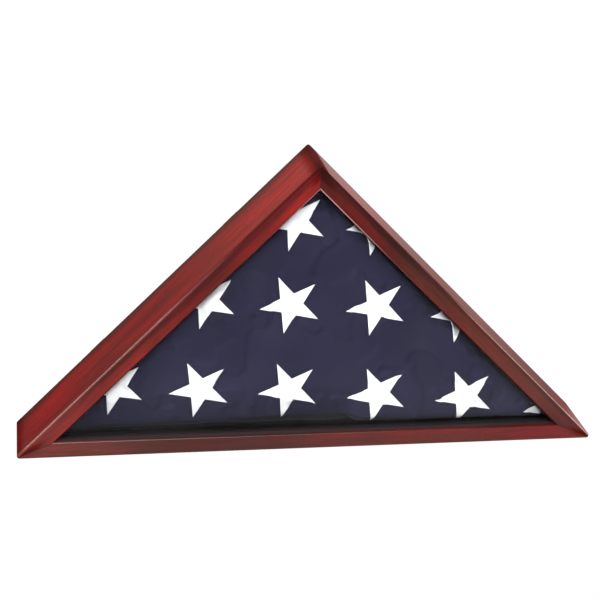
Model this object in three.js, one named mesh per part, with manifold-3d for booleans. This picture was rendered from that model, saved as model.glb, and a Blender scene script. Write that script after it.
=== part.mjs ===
// Folded flag display case: a right-angled, isosceles triangle of three mitred boards
// that stands on its long side, with a pane of glass let into a groove behind the front
// edge and a lift-off back panel held in a rebate by six turn buttons.
//
// Frame: +Z up, +Y to the back, X across the width. The origin is under the middle of
// the case's bounding box, on the surface that the case stands on. Millimetres.

import * as THREE from 'three';
import { mergeVertices } from 'three/addons/utils/BufferGeometryUtils.js';
import Module from 'manifold-3d';

const wasm = await Module();
wasm.setup();

// ---------------------------------------------------------------- driving dimensions
const BASE_SHARP = 660;        // long side of the outer triangle, to its sharp corners
const CASE_DEPTH = 90;         // front edge to rear edge of the boards
const BOARD_T = 19;            // board thickness, which is the visible front border
const CORNER_R = 3;            // softening of the three outer corners, seen from the front
const EDGE_FRONT_R = 2.5;      // roundover along the outer front edge
const EDGE_REAR_R = 1.5;       // roundover along the outer rear edge
const BEVEL_IN = 1.6;          // small bevel along the inner front edge
const MITRE_GAP = 0.3;         // glue line, drawn open

const LEDGE = 10;              // front edge to the glass groove
const GROOVE_W = 3.0;          // width of the glass groove
const GROOVE_D = 5.0;          // depth of the glass groove
const GLASS_T = 2.4;           // pane thickness
const GLASS_IN = 4.4;          // how far the pane reaches into the groove

const REBATE_W = 8;            // rear rebate, across the board's thickness
const REBATE_D = 5.6;          // rear rebate, front to back
const PANEL_T = 5;             // back panel
const PANEL_PLAY = 0.6;        // play between the panel's edge and the rebate
const LINING_T = 1.2;          // felt on the panel's inner face
const LINING_PLAY = 1.6;       // felt stops this far inside the boards' inner faces

const SPLINE_T = 3;            // mitre spline thickness
const SPLINE_W = 12;           // across the mitre
const SPLINE_L = 58;           // along the mitre, front to back
const SPLINE_Y = 20;           // front edge to the spline's near end
const FIT = 0.3;               // gap between fitted pieces

const BUTTON_T = 1.6;          // turn button plate
const BUTTON_R = 4.4;          // its rounded ends
const BUTTON_REACH = 20;       // from the pivot to the centre of its far end
const PIVOT_IN = 5;            // from the board's outer face to the button's pivot
const SCREW_R = 1.4;           // screw shank
const SCREW_L = 12;            // shank length in the wood
const HEAD_R = 2.9;            // pan head
const HEAD_H = 1.6;

const FLAG_BASE = 556;         // folded flag, long side to its sharp corners
const FLAG_FRONT = 18;         // front edge of the case to the flag's face
const FLAG_BACK = 80;          // front edge of the case to the flag's back
const FLAG_EDGE = 12;          // how far its folded edges roll in

const REAR_PROUD = FIT + BUTTON_T + FIT + HEAD_H;            // hardware behind the boards
const Y0 = -(CASE_DEPTH + REAR_PROUD) / 2;                   // front face
const HEIGHT_SHARP = BASE_SHARP / 2;

// ---------------------------------------------------------------- materials
const finish = (color, roughness, metalness = 0) =>
  new THREE.MeshStandardMaterial({ color, roughness, metalness });
const MAHOGANY = finish(0x7d332b, 0.22);
const PANEL_BOARD = finish(0x5a3a2a, 0.7);
const FELT = finish(0x121214, 0.95);
const BRASS = finish(0xb08d4a, 0.35, 1);
const STEEL = finish(0xa9a9a6, 0.35, 1);
const BEECH = finish(0xc39a6b, 0.7);
const NAVY = finish(0x2b2f52, 0.85);
const GLASS = finish(0xe8f2f0, 0.04);
GLASS.transparent = true;
GLASS.opacity = 0.25;

// ---------------------------------------------------------------- solids
const flat = (geometry) => {
  const g = geometry.index ? geometry.clone() : geometry;
  g.deleteAttribute('normal');
  g.deleteAttribute('uv');
  return mergeVertices(g, 1e-4);
};

const toSolid = (geometry) => {
  const g = flat(geometry);
  return new wasm.Manifold(new wasm.Mesh({
    numProp: 3,
    vertProperties: new Float32Array(g.attributes.position.array),
    triVerts: new Uint32Array(g.index.array),
  }));
};

const toGeometry = (solid) => {
  const m = solid.getMesh();
  const g = new THREE.BufferGeometry();
  const p = new Float32Array(m.numVert * 3);
  for (let i = 0; i < m.numVert; i++) {
    for (let k = 0; k < 3; k++) p[3 * i + k] = m.vertProperties[m.numProp * i + k];
  }
  g.setAttribute('position', new THREE.BufferAttribute(p, 3));
  g.setIndex(new THREE.BufferAttribute(new Uint32Array(m.triVerts), 1));
  g.computeVertexNormals();
  return g;
};

// A solid that stands on an outline in the X-Z plane and runs along +Y from y1 to y2.
const slab = (points, y1, y2, options = {}) => {
  const shape = points instanceof THREE.Shape ? points : new THREE.Shape(points);
  const g = new THREE.ExtrudeGeometry(shape, { depth: y2 - y1, bevelEnabled: false, ...options });
  // shape x, y -> X, Z; extrusion -> -Y
  g.rotateX(Math.PI / 2);
  g.translate(0, y2, 0);
  return g;
};

// ---------------------------------------------------------------- the triangle
const V = (x, y) => new THREE.Vector2(x, y);
const FOOT_L = V(-BASE_SHARP / 2, 0);
const FOOT_R = V(BASE_SHARP / 2, 0);
const APEX = V(0, HEIGHT_SHARP);
const INRADIUS = BASE_SHARP * (Math.SQRT2 - 1) / 2;
const CENTRE = V(0, INRADIUS);

// The outer triangle moved inwards by d, as [left foot, right foot, apex].
const inset = (d) => [FOOT_L, FOOT_R, APEX].map((p) => p.clone().lerp(CENTRE, d / INRADIUS));

// A polygon whose corners are rounded to radius r, as a Shape.
const rounded = (points, r, steps = 6) => {
  const out = [];
  const n = points.length;
  for (let i = 0; i < n; i++) {
    const p = points[i];
    const a = points[(i + n - 1) % n].clone().sub(p).normalize();
    const b = points[(i + 1) % n].clone().sub(p).normalize();
    const half = Math.acos(a.dot(b)) / 2;
    const centre = p.clone().add(a.clone().add(b).normalize().multiplyScalar(r / Math.sin(half)));
    const from = p.clone().add(a.clone().multiplyScalar(r / Math.tan(half))).sub(centre);
    const to = p.clone().add(b.clone().multiplyScalar(r / Math.tan(half))).sub(centre);
    const turn = Math.atan2(from.x * to.y - from.y * to.x, from.dot(to));
    for (let k = 0; k <= steps; k++) {
      out.push(from.clone().rotateAround(V(0, 0), turn * k / steps).add(centre));
    }
  }
  return new THREE.Shape(out);
};

// The three boards, each with its run d along its length and n towards the inside.
const BOARDS = {
  left: { from: FOOT_L, to: APEX },
  right: { from: APEX, to: FOOT_R },
  base: { from: FOOT_R, to: FOOT_L },
};
for (const b of Object.values(BOARDS)) {
  b.d = b.to.clone().sub(b.from).normalize();
  b.n = V(b.d.y, -b.d.x);
  b.length = b.to.distanceTo(b.from);
  // (inwards, front to back, along) -> world
  b.matrix = new THREE.Matrix4().makeBasis(
    new THREE.Vector3(b.n.x, 0, b.n.y),
    new THREE.Vector3(0, 1, 0),
    new THREE.Vector3(b.d.x, 0, b.d.y),
  ).setPosition(b.from.x, Y0, b.from.y);
}

// ---------------------------------------------------------------- boards
const boardSection = () => {
  const s = [];
  const arc = (cx, cy, r, a1, a2, steps) => {
    for (let k = 0; k <= steps; k++) {
      const a = (a1 + (a2 - a1) * k / steps) * Math.PI / 180;
      s.push(V(cx + r * Math.cos(a), cy + r * Math.sin(a)));
    }
  };
  // x is the distance in from the outer face, y the distance back from the front
  arc(EDGE_FRONT_R, EDGE_FRONT_R, EDGE_FRONT_R, 180, 270, 4);
  s.push(V(BOARD_T - BEVEL_IN, 0), V(BOARD_T, BEVEL_IN));
  s.push(V(BOARD_T, LEDGE), V(BOARD_T - GROOVE_D, LEDGE));
  s.push(V(BOARD_T - GROOVE_D, LEDGE + GROOVE_W), V(BOARD_T, LEDGE + GROOVE_W));
  s.push(V(BOARD_T, CASE_DEPTH - REBATE_D), V(BOARD_T - REBATE_W, CASE_DEPTH - REBATE_D));
  s.push(V(BOARD_T - REBATE_W, CASE_DEPTH));
  arc(EDGE_REAR_R, CASE_DEPTH - EDGE_REAR_R, EDGE_REAR_R, 90, 180, 3);
  return new THREE.Shape(s);
};

// The space between the two mitre planes of a board, half the glue line short of each.
const mitreWedge = (b) => {
  const cut = (corner, side) => {
    const u = CENTRE.clone().sub(corner).normalize();
    const off = V(-u.y, u.x).multiplyScalar(side * MITRE_GAP / 2);
    return { u, p: corner.clone().add(off) };
  };
  const a = cut(b.from, b.d.clone().cross(CENTRE.clone().sub(b.from)) > 0 ? -1 : 1);
  const c = cut(b.to, b.d.clone().cross(CENTRE.clone().sub(b.to)) > 0 ? 1 : -1);
  const den = a.u.cross(c.u);
  const t = c.p.clone().sub(a.p).cross(c.u) / den;
  const meet = a.p.clone().add(a.u.clone().multiplyScalar(t));
  const outA = a.p.clone().sub(a.u.clone().multiplyScalar(30));
  const outC = c.p.clone().sub(c.u.clone().multiplyScalar(30));
  return toSolid(slab([outA, meet, outC], Y0 - 5, Y0 + CASE_DEPTH + 5));
};

const outerPrism = toSolid(slab(rounded(inset(0), CORNER_R), Y0 - 4, Y0 + CASE_DEPTH + 4));

// Mitre splines: a strip across each mitre, in a blind slot of the two boards.
const SPLINES = {
  apex: { corner: APEX, along: 18 },
  left: { corner: FOOT_L, along: 34 },
  right: { corner: FOOT_R, along: 34 },
};
const splineBox = (s, grow) => {
  const u = CENTRE.clone().sub(s.corner).normalize();
  const g = new THREE.BoxGeometry(SPLINE_T + 2 * grow, SPLINE_L + 2 * grow, SPLINE_W + 2 * grow);
  const at = s.corner.clone().add(u.clone().multiplyScalar(s.along));
  g.applyMatrix4(new THREE.Matrix4().makeBasis(
    new THREE.Vector3(u.x, 0, u.y),
    new THREE.Vector3(0, 1, 0),
    new THREE.Vector3(-u.y, 0, u.x),
  ).setPosition(at.x, Y0 + SPLINE_Y + SPLINE_L / 2, at.y));
  return g;
};

// Turn buttons: the board, how far along it the pivot is, and which way it lies when
// it is turned clear of the panel (1 is along the board's run, -1 against it).
const LEG = BOARDS.left.length;
const BUTTONS = {
  left_lower: { board: BOARDS.left, at: 0.27 * LEG, way: 1 },
  left_upper: { board: BOARDS.left, at: 0.72 * LEG, way: 1 },
  right_upper: { board: BOARDS.right, at: 0.28 * LEG, way: -1 },
  right_lower: { board: BOARDS.right, at: 0.73 * LEG, way: -1 },
  base_right: { board: BOARDS.base, at: BASE_SHARP / 2 - 165, way: 1 },
  base_left: { board: BOARDS.base, at: BASE_SHARP / 2 + 165, way: -1 },
};
const pivot = ({ board, at }) => board.from.clone()
  .add(board.d.clone().multiplyScalar(at))
  .add(board.n.clone().multiplyScalar(PIVOT_IN));

const disc = (r, h, steps = 20) => new THREE.CylinderGeometry(r, r, h, steps);   // along Y

const makeBoard = (b) => {
  const run = new THREE.ExtrudeGeometry(boardSection(), { depth: b.length + 40, bevelEnabled: false });
  run.translate(0, 0, -20);
  run.applyMatrix4(b.matrix);
  let solid = toSolid(run).intersect(outerPrism).intersect(mitreWedge(b));
  for (const s of Object.values(SPLINES)) solid = solid.subtract(toSolid(splineBox(s, FIT)));
  for (const t of Object.values(BUTTONS)) {
    if (t.board !== b) continue;
    const p = pivot(t);
    const hole = disc(SCREW_R + FIT, SCREW_L + FIT + 6, 12);
    hole.translate(p.x, Y0 + CASE_DEPTH - (SCREW_L + FIT) + (SCREW_L + FIT + 6) / 2, p.y);
    solid = solid.subtract(toSolid(hole));
  }
  return toGeometry(solid);
};

// ---------------------------------------------------------------- hardware
const makeButton = (t) => {
  const p = pivot(t);
  const run = t.board.d.clone().multiplyScalar(t.way);
  const side = V(-run.y, run.x);
  const outline = [];
  const tip = p.clone().add(run.clone().multiplyScalar(BUTTON_REACH));
  const end = (c, a1, a2) => {
    for (let k = 0; k <= 10; k++) {
      const a = a1 + (a2 - a1) * k / 10;
      outline.push(c.clone()
        .add(run.clone().multiplyScalar(BUTTON_R * Math.cos(a)))
        .add(side.clone().multiplyScalar(BUTTON_R * Math.sin(a))));
    }
  };
  end(tip, -Math.PI / 2, Math.PI / 2);
  end(p, Math.PI / 2, 3 * Math.PI / 2);
  const shape = new THREE.Shape(outline);
  const hole = new THREE.Path();
  hole.absarc(p.x, p.y, SCREW_R + FIT, 0, 2 * Math.PI, true);
  shape.holes.push(hole);
  const y = Y0 + CASE_DEPTH + FIT;
  return slab(shape, y, y + BUTTON_T, { curveSegments: 12 });
};

const makeScrew = (t) => {
  const p = pivot(t);
  const rear = Y0 + CASE_DEPTH + FIT + BUTTON_T + FIT;        // underside of the head
  const tip = Y0 + CASE_DEPTH - SCREW_L;
  const profile = [
    V(0, tip), V(SCREW_R * 0.55, tip + 1.2), V(SCREW_R, tip + 3),
    V(SCREW_R, rear), V(HEAD_R, rear), V(HEAD_R, rear + 0.6 * HEAD_H),
    V(HEAD_R * 0.8, rear + 0.88 * HEAD_H), V(HEAD_R * 0.45, rear + HEAD_H), V(0, rear + HEAD_H),
  ];
  const body = new THREE.LatheGeometry(profile, 20);
  body.translate(p.x, 0, p.y);
  let solid = toSolid(body);
  const turn = Math.atan2(t.board.d.y, t.board.d.x) + 0.5;
  for (const a of [0, Math.PI / 2]) {
    const slot = new THREE.BoxGeometry(3.4, 2, 0.7);
    slot.rotateY(turn + a);
    slot.translate(p.x, rear + HEAD_H, p.y);
    solid = solid.subtract(toSolid(slot));
  }
  return toGeometry(solid);
};

// ---------------------------------------------------------------- assembly
const caseGroup = new THREE.Group();
const add = (name, geometry, material, group = caseGroup) => {
  const m = new THREE.Mesh(geometry, material);
  m.name = name;
  group.add(m);
  return m;
};

add('left_side_board', makeBoard(BOARDS.left), MAHOGANY);
add('right_side_board', makeBoard(BOARDS.right), MAHOGANY);
add('base_board', makeBoard(BOARDS.base), MAHOGANY);

// The pane is held all round in the groove; its sharp corners are nipped off.
const paneY = Y0 + LEDGE + (GROOVE_W - GLASS_T) / 2;
add('glass_pane', slab(rounded(inset(BOARD_T - GLASS_IN), 1.5, 2), paneY, paneY + GLASS_T), GLASS);

for (const [where, s] of Object.entries(SPLINES)) {
  add(`mitre_spline_${where}`, splineBox(s, 0), BEECH);
}

// The back panel's rear face is flush with the boards' rear edges.
const panelGroup = new THREE.Group();
const panelRear = Y0 + CASE_DEPTH;
add('back_panel', slab(rounded(inset(BOARD_T - REBATE_W + PANEL_PLAY), 4, 4), panelRear - PANEL_T, panelRear), PANEL_BOARD, panelGroup);
const liningRear = panelRear - PANEL_T - 0.2;
add('back_panel_lining', slab(rounded(inset(BOARD_T + LINING_PLAY), 3, 3), liningRear - LINING_T, liningRear), FELT, panelGroup);
caseGroup.add(panelGroup);

for (const [where, t] of Object.entries(BUTTONS)) add(`turn_button_${where}`, makeButton(t), BRASS);
for (const [where, t] of Object.entries(BUTTONS)) add(`button_screw_${where}`, makeScrew(t), STEEL);

// The folded flag stands on the base board: a thick triangle whose front and back crown
// a little and whose folded edges roll in. Each ring is [inset, corner radius, y].
const flagRing = (d, r) => {
  const h = FLAG_BASE / 2;
  const z = BOARD_T + FIT;
  const rin = FLAG_BASE * (Math.SQRT2 - 1) / 2;
  const c = V(0, z + rin);
  return rounded([V(-h, z), V(h, z), V(0, z + h)].map((p) => p.lerp(c, d / rin)), r, 5).getPoints();
};
const loft = (rings) => {
  const n = rings[0].points.length;
  const position = [];
  for (const { points, y } of rings) for (const p of points) position.push(p.x, y, p.y);
  const index = [];
  for (let k = 0; k + 1 < rings.length; k++) {
    for (let i = 0; i < n; i++) {
      const a = k * n + i, b = k * n + (i + 1) % n;
      index.push(a, a + n, b, b, a + n, b + n);
    }
  }
  for (let i = 1; i + 1 < n; i++) {
    index.push(0, i, i + 1);
    const last = (rings.length - 1) * n;
    index.push(last, last + i + 1, last + i);
  }
  const g = new THREE.BufferGeometry();
  g.setAttribute('position', new THREE.BufferAttribute(new Float32Array(position), 3));
  g.setIndex(index);
  g.computeVertexNormals();
  return g;
};
const E = FLAG_EDGE;
const flag = loft([
  [30, 2, FLAG_FRONT], [E, 3, FLAG_FRONT + 1], [0.5 * E, 4.5, FLAG_FRONT + 0.25 * E],
  [0.15 * E, 6, FLAG_FRONT + 0.6 * E], [0, 8, FLAG_FRONT + E],
  [0, 8, FLAG_BACK - E], [0.15 * E, 6, FLAG_BACK - 0.6 * E], [0.5 * E, 4.5, FLAG_BACK - 0.25 * E],
  [E, 3, FLAG_BACK - 1], [30, 2, FLAG_BACK],
].map(([d, r, y]) => ({ points: flagRing(d, r), y: Y0 + y })));
add('folded_flag', flag, NAVY);

export default caseGroup;
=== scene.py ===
# Folded flag display case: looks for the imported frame.
import math

import bmesh
import bpy
import numpy as np
from mathutils import Matrix, Vector, geometry, noise
from mathutils.bvhtree import BVHTree


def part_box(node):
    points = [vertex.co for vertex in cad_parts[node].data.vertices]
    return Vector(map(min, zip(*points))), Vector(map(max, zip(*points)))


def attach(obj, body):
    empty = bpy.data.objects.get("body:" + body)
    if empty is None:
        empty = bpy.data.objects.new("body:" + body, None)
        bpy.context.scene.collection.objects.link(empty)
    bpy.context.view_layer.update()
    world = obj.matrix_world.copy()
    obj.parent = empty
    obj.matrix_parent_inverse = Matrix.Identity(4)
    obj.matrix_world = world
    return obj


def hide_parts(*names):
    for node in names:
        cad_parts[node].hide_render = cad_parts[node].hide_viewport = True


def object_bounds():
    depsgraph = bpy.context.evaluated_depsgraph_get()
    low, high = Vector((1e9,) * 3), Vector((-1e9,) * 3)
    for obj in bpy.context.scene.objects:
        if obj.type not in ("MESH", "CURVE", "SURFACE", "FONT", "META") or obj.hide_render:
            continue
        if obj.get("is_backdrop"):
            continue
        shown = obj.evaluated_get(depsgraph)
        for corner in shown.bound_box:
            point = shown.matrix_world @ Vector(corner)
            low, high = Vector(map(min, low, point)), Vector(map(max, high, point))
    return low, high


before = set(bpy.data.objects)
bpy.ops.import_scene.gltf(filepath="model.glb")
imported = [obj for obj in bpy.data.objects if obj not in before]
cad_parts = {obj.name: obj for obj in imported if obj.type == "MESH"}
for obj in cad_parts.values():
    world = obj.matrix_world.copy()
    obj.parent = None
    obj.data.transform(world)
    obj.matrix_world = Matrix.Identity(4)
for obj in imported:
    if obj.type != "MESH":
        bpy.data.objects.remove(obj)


def plain(box):
    if isinstance(box, dict):
        return {k: plain(v) for k, v in box.items()}
    if hasattr(box, "__len__"):
        return [plain(v) for v in box]
    return float(box)


CAD_BOX = plain(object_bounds())

MM = 0.001
COL = bpy.context.scene.collection

# ------------------------------------------------------------------ the case's main lines
case_lo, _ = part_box("base_board")
_, case_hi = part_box("left_side_board")
Y0 = case_lo[1]                       # front face of the boards
DEPTH = case_hi[1] - case_lo[1]       # front edge to rear edge of the boards
HALF = 0.330                          # half the long side, to its sharp corners
T = 0.019                             # board thickness
CORNER = 0.003
S22 = math.sin(math.radians(22.5))
C22 = math.cos(math.radians(22.5))
ROOT = math.sqrt(0.5)


def smooth(a, b, x):
    t = np.clip((np.asarray(x, dtype=float) - a) / (b - a), 0.0, 1.0)
    return t * t * (3 - 2 * t)


# ------------------------------------------------------------------ node helpers
def node(nt, kind, **given):
    """A node; keys are input names (or numbers written as i0, i1), values are numbers or sockets."""
    n = nt.nodes.new(kind)
    for key, value in given.items():
        if key.startswith("set_"):
            setattr(n, key[4:], value)
            continue
        if key[0] == "i" and key[1:].isdigit():
            sock = n.inputs[int(key[1:])]
        else:
            sock = n.inputs[key.replace("_", " ")]
        if isinstance(value, bpy.types.NodeSocket):
            nt.links.new(value, sock)
        else:
            if sock.type == "RGBA" and len(value) == 3:
                value = (*value, 1.0)
            sock.default_value = value
    return n


def out(n, name=0):
    return n.outputs[name]


def math_(nt, op, a, b=0.0, c=None, clamp=False):
    n = nt.nodes.new("ShaderNodeMath")
    n.operation = op
    n.use_clamp = clamp
    for k, v in enumerate((a, b, c)):
        if v is None:
            continue
        if isinstance(v, bpy.types.NodeSocket):
            nt.links.new(v, n.inputs[k])
        else:
            n.inputs[k].default_value = v
    return n.outputs[0]


def between(nt, x, a, b, lo=0.0, hi=1.0, kind="SMOOTHSTEP"):
    n = nt.nodes.new("ShaderNodeMapRange")
    n.interpolation_type = kind
    n.clamp = True
    nt.links.new(x, n.inputs["Value"])
    n.inputs["From Min"].default_value = a
    n.inputs["From Max"].default_value = b
    n.inputs["To Min"].default_value = lo
    n.inputs["To Max"].default_value = hi
    return n.outputs["Result"]


def ramp(nt, fac, stops, kind="EASE"):
    n = nt.nodes.new("ShaderNodeValToRGB")
    n.color_ramp.interpolation = kind
    els = n.color_ramp.elements
    while len(els) < len(stops):
        els.new(0.5)
    for e, (p, c) in zip(els, stops):
        e.position = p
        if not hasattr(c, "__len__"):
            c = (c, c, c)
        e.color = (*c, 1.0)
    nt.links.new(fac, n.inputs["Fac"])
    return n.outputs["Color"]


def mix(nt, fac, a, b, blend="MIX"):
    n = nt.nodes.new("ShaderNodeMix")
    n.data_type = "RGBA"
    n.blend_type = blend
    n.clamp_factor = True
    for k, v in ((0, fac), (6, a), (7, b)):
        if isinstance(v, bpy.types.NodeSocket):
            nt.links.new(v, n.inputs[k])
        else:
            if k and len(v) == 3:
                v = (*v, 1.0)
            n.inputs[k].default_value = v
    return n.outputs[2]


def attribute(nt, name):
    n = nt.nodes.new("ShaderNodeAttribute")
    n.attribute_name = name
    return n


def vec(nt, x, y, z):
    n = nt.nodes.new("ShaderNodeCombineXYZ")
    for k, v in enumerate((x, y, z)):
        if isinstance(v, bpy.types.NodeSocket):
            nt.links.new(v, n.inputs[k])
        else:
            n.inputs[k].default_value = v
    return n.outputs[0]


def split(nt, v):
    n = nt.nodes.new("ShaderNodeSeparateXYZ")
    nt.links.new(v, n.inputs[0])
    return n.outputs[0], n.outputs[1], n.outputs[2]


def noise_(nt, at, scale, detail=3.0, rough=0.55, distortion=0.0):
    n = nt.nodes.new("ShaderNodeTexNoise")
    nt.links.new(at, n.inputs["Vector"])
    n.inputs["Scale"].default_value = scale
    n.inputs["Detail"].default_value = detail
    n.inputs["Roughness"].default_value = rough
    n.inputs["Distortion"].default_value = distortion
    return n.outputs["Fac"]


def bump(nt, height, strength, distance=0.001, normal=None):
    n = nt.nodes.new("ShaderNodeBump")
    n.inputs["Strength"].default_value = strength
    n.inputs["Distance"].default_value = distance
    nt.links.new(height, n.inputs["Height"])
    if normal is not None:
        nt.links.new(normal, n.inputs["Normal"])
    return n.outputs["Normal"]


def material(name):
    m = bpy.data.materials.new(name)
    m.use_nodes = True
    nt = m.node_tree
    nt.nodes.clear()
    o = nt.nodes.new("ShaderNodeOutputMaterial")
    return m, nt, o


def principled(nt, o, **given):
    n = node(nt, "ShaderNodeBsdfPrincipled", **given)
    nt.links.new(n.outputs[0], o.inputs["Surface"])
    return n


# ------------------------------------------------------------------ wood
RED = (0.145, 0.0052, 0.0043)
MID = (0.086, 0.0076, 0.0056)
BROWN = (0.056, 0.0145, 0.0092)
DARK = (0.015, 0.0038, 0.0036)


def mahogany(name, seed, red_stops, band_stops, bevel_highlight_stops, pools=(0.6, 0.6, 0.008, 0.008), brown=0.0, level=1.0,
             edge_glint_stops=((0.0, 0.8), (1.0, 0.8)), face_stops=((0.0, 0.5), (1.0, 0.5)), side_painted_light=(1.0, 1.0),
             front_stops=((0.0, 0.5), (1.0, 0.5)), veil_stops=((0.0, 1.0), (1.0, 1.0)), wear_glint=(0.38, 0.70),
             worn_glint_colour=(0.30, 0.105, 0.080), worn_glint_width=(0.0020, 0.0030), side_reach=1.0, far_value=(1.0, 1.0)):
    """Stained, lacquered mahogany. The grain is a solid pattern in the board's own
    coordinates: s along it, u in from its outer face, y back from its front edge.
    red_stops gives how far the stain leans to red along the board. Some of its marks are painted light and shade, noted
    where they are made."""
    m, nt, o = material(name)
    at = attribute(nt, "grain_at").outputs["Vector"]
    s, u, y = split(nt, at)
    m0 = attribute(nt, "mitre_from").outputs["Fac"]
    m1 = attribute(nt, "mitre_to").outputs["Fac"]

    # the fibres wander a little from the board's line
    warp = noise_(nt, vec(nt, math_(nt, "MULTIPLY", s, 1.0), u, math_(nt, "ADD", y, seed)), 7.0, 2.0)
    drift = math_(nt, "MULTIPLY", math_(nt, "SUBTRACT", warp, 0.5), 0.022)
    uu = math_(nt, "ADD", u, drift)
    yy = math_(nt, "ADD", y, math_(nt, "MULTIPLY", drift, 0.8))
    figure = noise_(nt, vec(nt, math_(nt, "MULTIPLY", s, 0.085), uu, math_(nt, "ADD", yy, seed)), 46.0, 3.0, 0.5, 0.6)
    streak = noise_(nt, vec(nt, math_(nt, "MULTIPLY", s, 0.045), uu, math_(nt, "ADD", yy, seed)), 230.0, 4.0, 0.6, 0.4)
    fine = noise_(nt, vec(nt, math_(nt, "MULTIPLY", s, 0.030), uu, math_(nt, "ADD", yy, seed)), 950.0, 3.0, 0.6)
    pores = noise_(nt, vec(nt, math_(nt, "MULTIPLY", s, 0.050), u, math_(nt, "ADD", y, seed)), 2100.0, 1.0, 0.5)
    pores = between(nt, pores, 0.60, 0.70)
    cloud = noise_(nt, vec(nt, math_(nt, "MULTIPLY", s, 0.32), u, math_(nt, "ADD", y, seed + 3.0)), 30.0, 2.0, 0.5)

    # stain: from brown to red along the board, with patches and streaks
    along = ramp(nt, math_(nt, "DIVIDE", s, 0.66), red_stops, "EASE")
    lean = math_(nt, "ADD", along, math_(nt, "MULTIPLY", math_(nt, "SUBTRACT", cloud, 0.5), 1.0))
    lean = math_(nt, "ADD", lean, math_(nt, "MULTIPLY", math_(nt, "SUBTRACT", figure, 0.5), 0.9))
    lean = math_(nt, "ADD", lean, math_(nt, "MULTIPLY", math_(nt, "SUBTRACT", streak, 0.5), 0.7))
    side = between(nt, u, 0.0, 0.0012, 1.0, 0.0)                             # the broad outer face takes the stain its own way
    shift = math_(nt, "MULTIPLY", math_(nt, "SUBTRACT", ramp(nt, math_(nt, "DIVIDE", s, 0.66), face_stops, "EASE"), 0.5), 2.0)
    far = between(nt, math_(nt, "SUBTRACT", DEPTH, y), 0.002, 0.016, 0.45, 0.0)
    lean = math_(nt, "ADD", lean, math_(nt, "SUBTRACT", math_(nt, "MULTIPLY", side, math_(nt, "SUBTRACT", shift, far)), brown), clamp=True)
    base = ramp(nt, lean, [(0.0, BROWN), (0.45, MID), (0.98, RED)], "LINEAR")
    value = math_(nt, "ADD", math_(nt, "MULTIPLY", figure, 0.55), math_(nt, "MULTIPLY", streak, 0.45))
    value = between(nt, value, 0.30, 0.68, 0.62 * level, 1.22 * level, "LINEAR")
    value = math_(nt, "MULTIPLY", value, between(nt, fine, 0.30, 0.70, 0.84, 1.12, "LINEAR"))
    # painted light: the broad outer face is made lighter or darker along the board; on the side boards, lighter towards
    # the apex
    value = math_(nt, "MULTIPLY", value, math_(nt, "ADD", 1.0, math_(nt, "MULTIPLY", side, between(nt, s, 0.22, 0.40, side_painted_light[0] - 1.0, side_painted_light[1] - 1.0))))
    value = math_(nt, "MULTIPLY", value, math_(nt, "ADD", 1.0, math_(nt, "MULTIPLY", math_(nt, "SUBTRACT", 1.0, side),
                  math_(nt, "SUBTRACT", math_(nt, "MULTIPLY", ramp(nt, math_(nt, "DIVIDE", s, 0.66), front_stops, "EASE"), 2.0), 1.0))))
    fade = math_(nt, "MULTIPLY", math_(nt, "MULTIPLY", side, between(nt, math_(nt, "SUBTRACT", DEPTH, y), 0.006, 0.030, 1.0, 0.0)),
                 math_(nt, "SUBTRACT", 1.0, between(nt, s, 0.26, 0.42, far_value[0], far_value[1])))
    value = math_(nt, "MULTIPLY", value, math_(nt, "SUBTRACT", 1.0, fade))
    base = mix(nt, 1.0, base, node(nt, "ShaderNodeCombineColor", i0=value, i1=value, i2=value).outputs[0], "MULTIPLY")
    base = mix(nt, math_(nt, "MULTIPLY", pores, 0.42), base, DARK)

    # stain gathers beside the outer arrises and at the mitres; on the very edge it is worn lighter, which also serves
    # as a painted highlight along the arris
    rough_edge = between(nt, streak, 0.35, 0.65, 0.55, 1.0)
    front = math_(nt, "ADD", u, y)
    wide = ramp(nt, math_(nt, "DIVIDE", s, 0.66), band_stops, "EASE")
    reach = math_(nt, "ADD", 0.0042, math_(nt, "MULTIPLY", wide, 0.0070))
    band = between(nt, math_(nt, "DIVIDE", math_(nt, "ADD", u, math_(nt, "MULTIPLY", math_(nt, "SUBTRACT", streak, 0.5), 0.004)), reach), 0.55, 1.05, 1.0, 0.0)
    band = math_(nt, "MULTIPLY", band, between(nt, front, 0.0020, 0.0034))
    band = math_(nt, "MULTIPLY", band, between(nt, y, 0.0016, 0.0032, 1.0, 0.0))
    band = math_(nt, "MULTIPLY", math_(nt, "MULTIPLY", band, rough_edge), math_(nt, "ADD", 0.45, math_(nt, "MULTIPLY", wide, 0.40)))
    line = math_(nt, "MULTIPLY", between(nt, y, 0.0024, 0.0034), between(nt, y, 0.0036, 0.0056, 1.0, 0.0))
    line = math_(nt, "MULTIPLY", math_(nt, "MULTIPLY", line, between(nt, u, 0.001, 0.002, 1.0, 0.0)), math_(nt, "MULTIPLY", rough_edge, 0.35))
    band = math_(nt, "MAXIMUM", band, line)
    rear = math_(nt, "ADD", u, math_(nt, "SUBTRACT", DEPTH, y))
    back = math_(nt, "MULTIPLY", between(nt, rear, 0.0015, 0.0085, 0.72, 0.0), rough_edge)
    inner = between(nt, u, 0.0090, 0.0105, 0.0, 0.85)                   # the unpolished inner faces
    inner = math_(nt, "MULTIPLY", inner, between(nt, y, 0.0016, 0.0024))
    inner = math_(nt, "MULTIPLY", inner, between(nt, y, DEPTH - 0.0008, DEPTH - 0.0002, 1.0, 0.0))
    near = math_(nt, "MINIMUM", m0, m1)
    seam = between(nt, near, 0.0002, 0.0008, 0.85, 0.0)
    pool0 = between(nt, m0, 0.0, pools[2], pools[0], 0.0)
    pool0 = math_(nt, "MULTIPLY", pool0, math_(nt, "SUBTRACT", 1.0, math_(nt, "MULTIPLY", side, between(nt, m0, 0.35 * pools[2] * side_reach, pools[2] * side_reach))))
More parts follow.
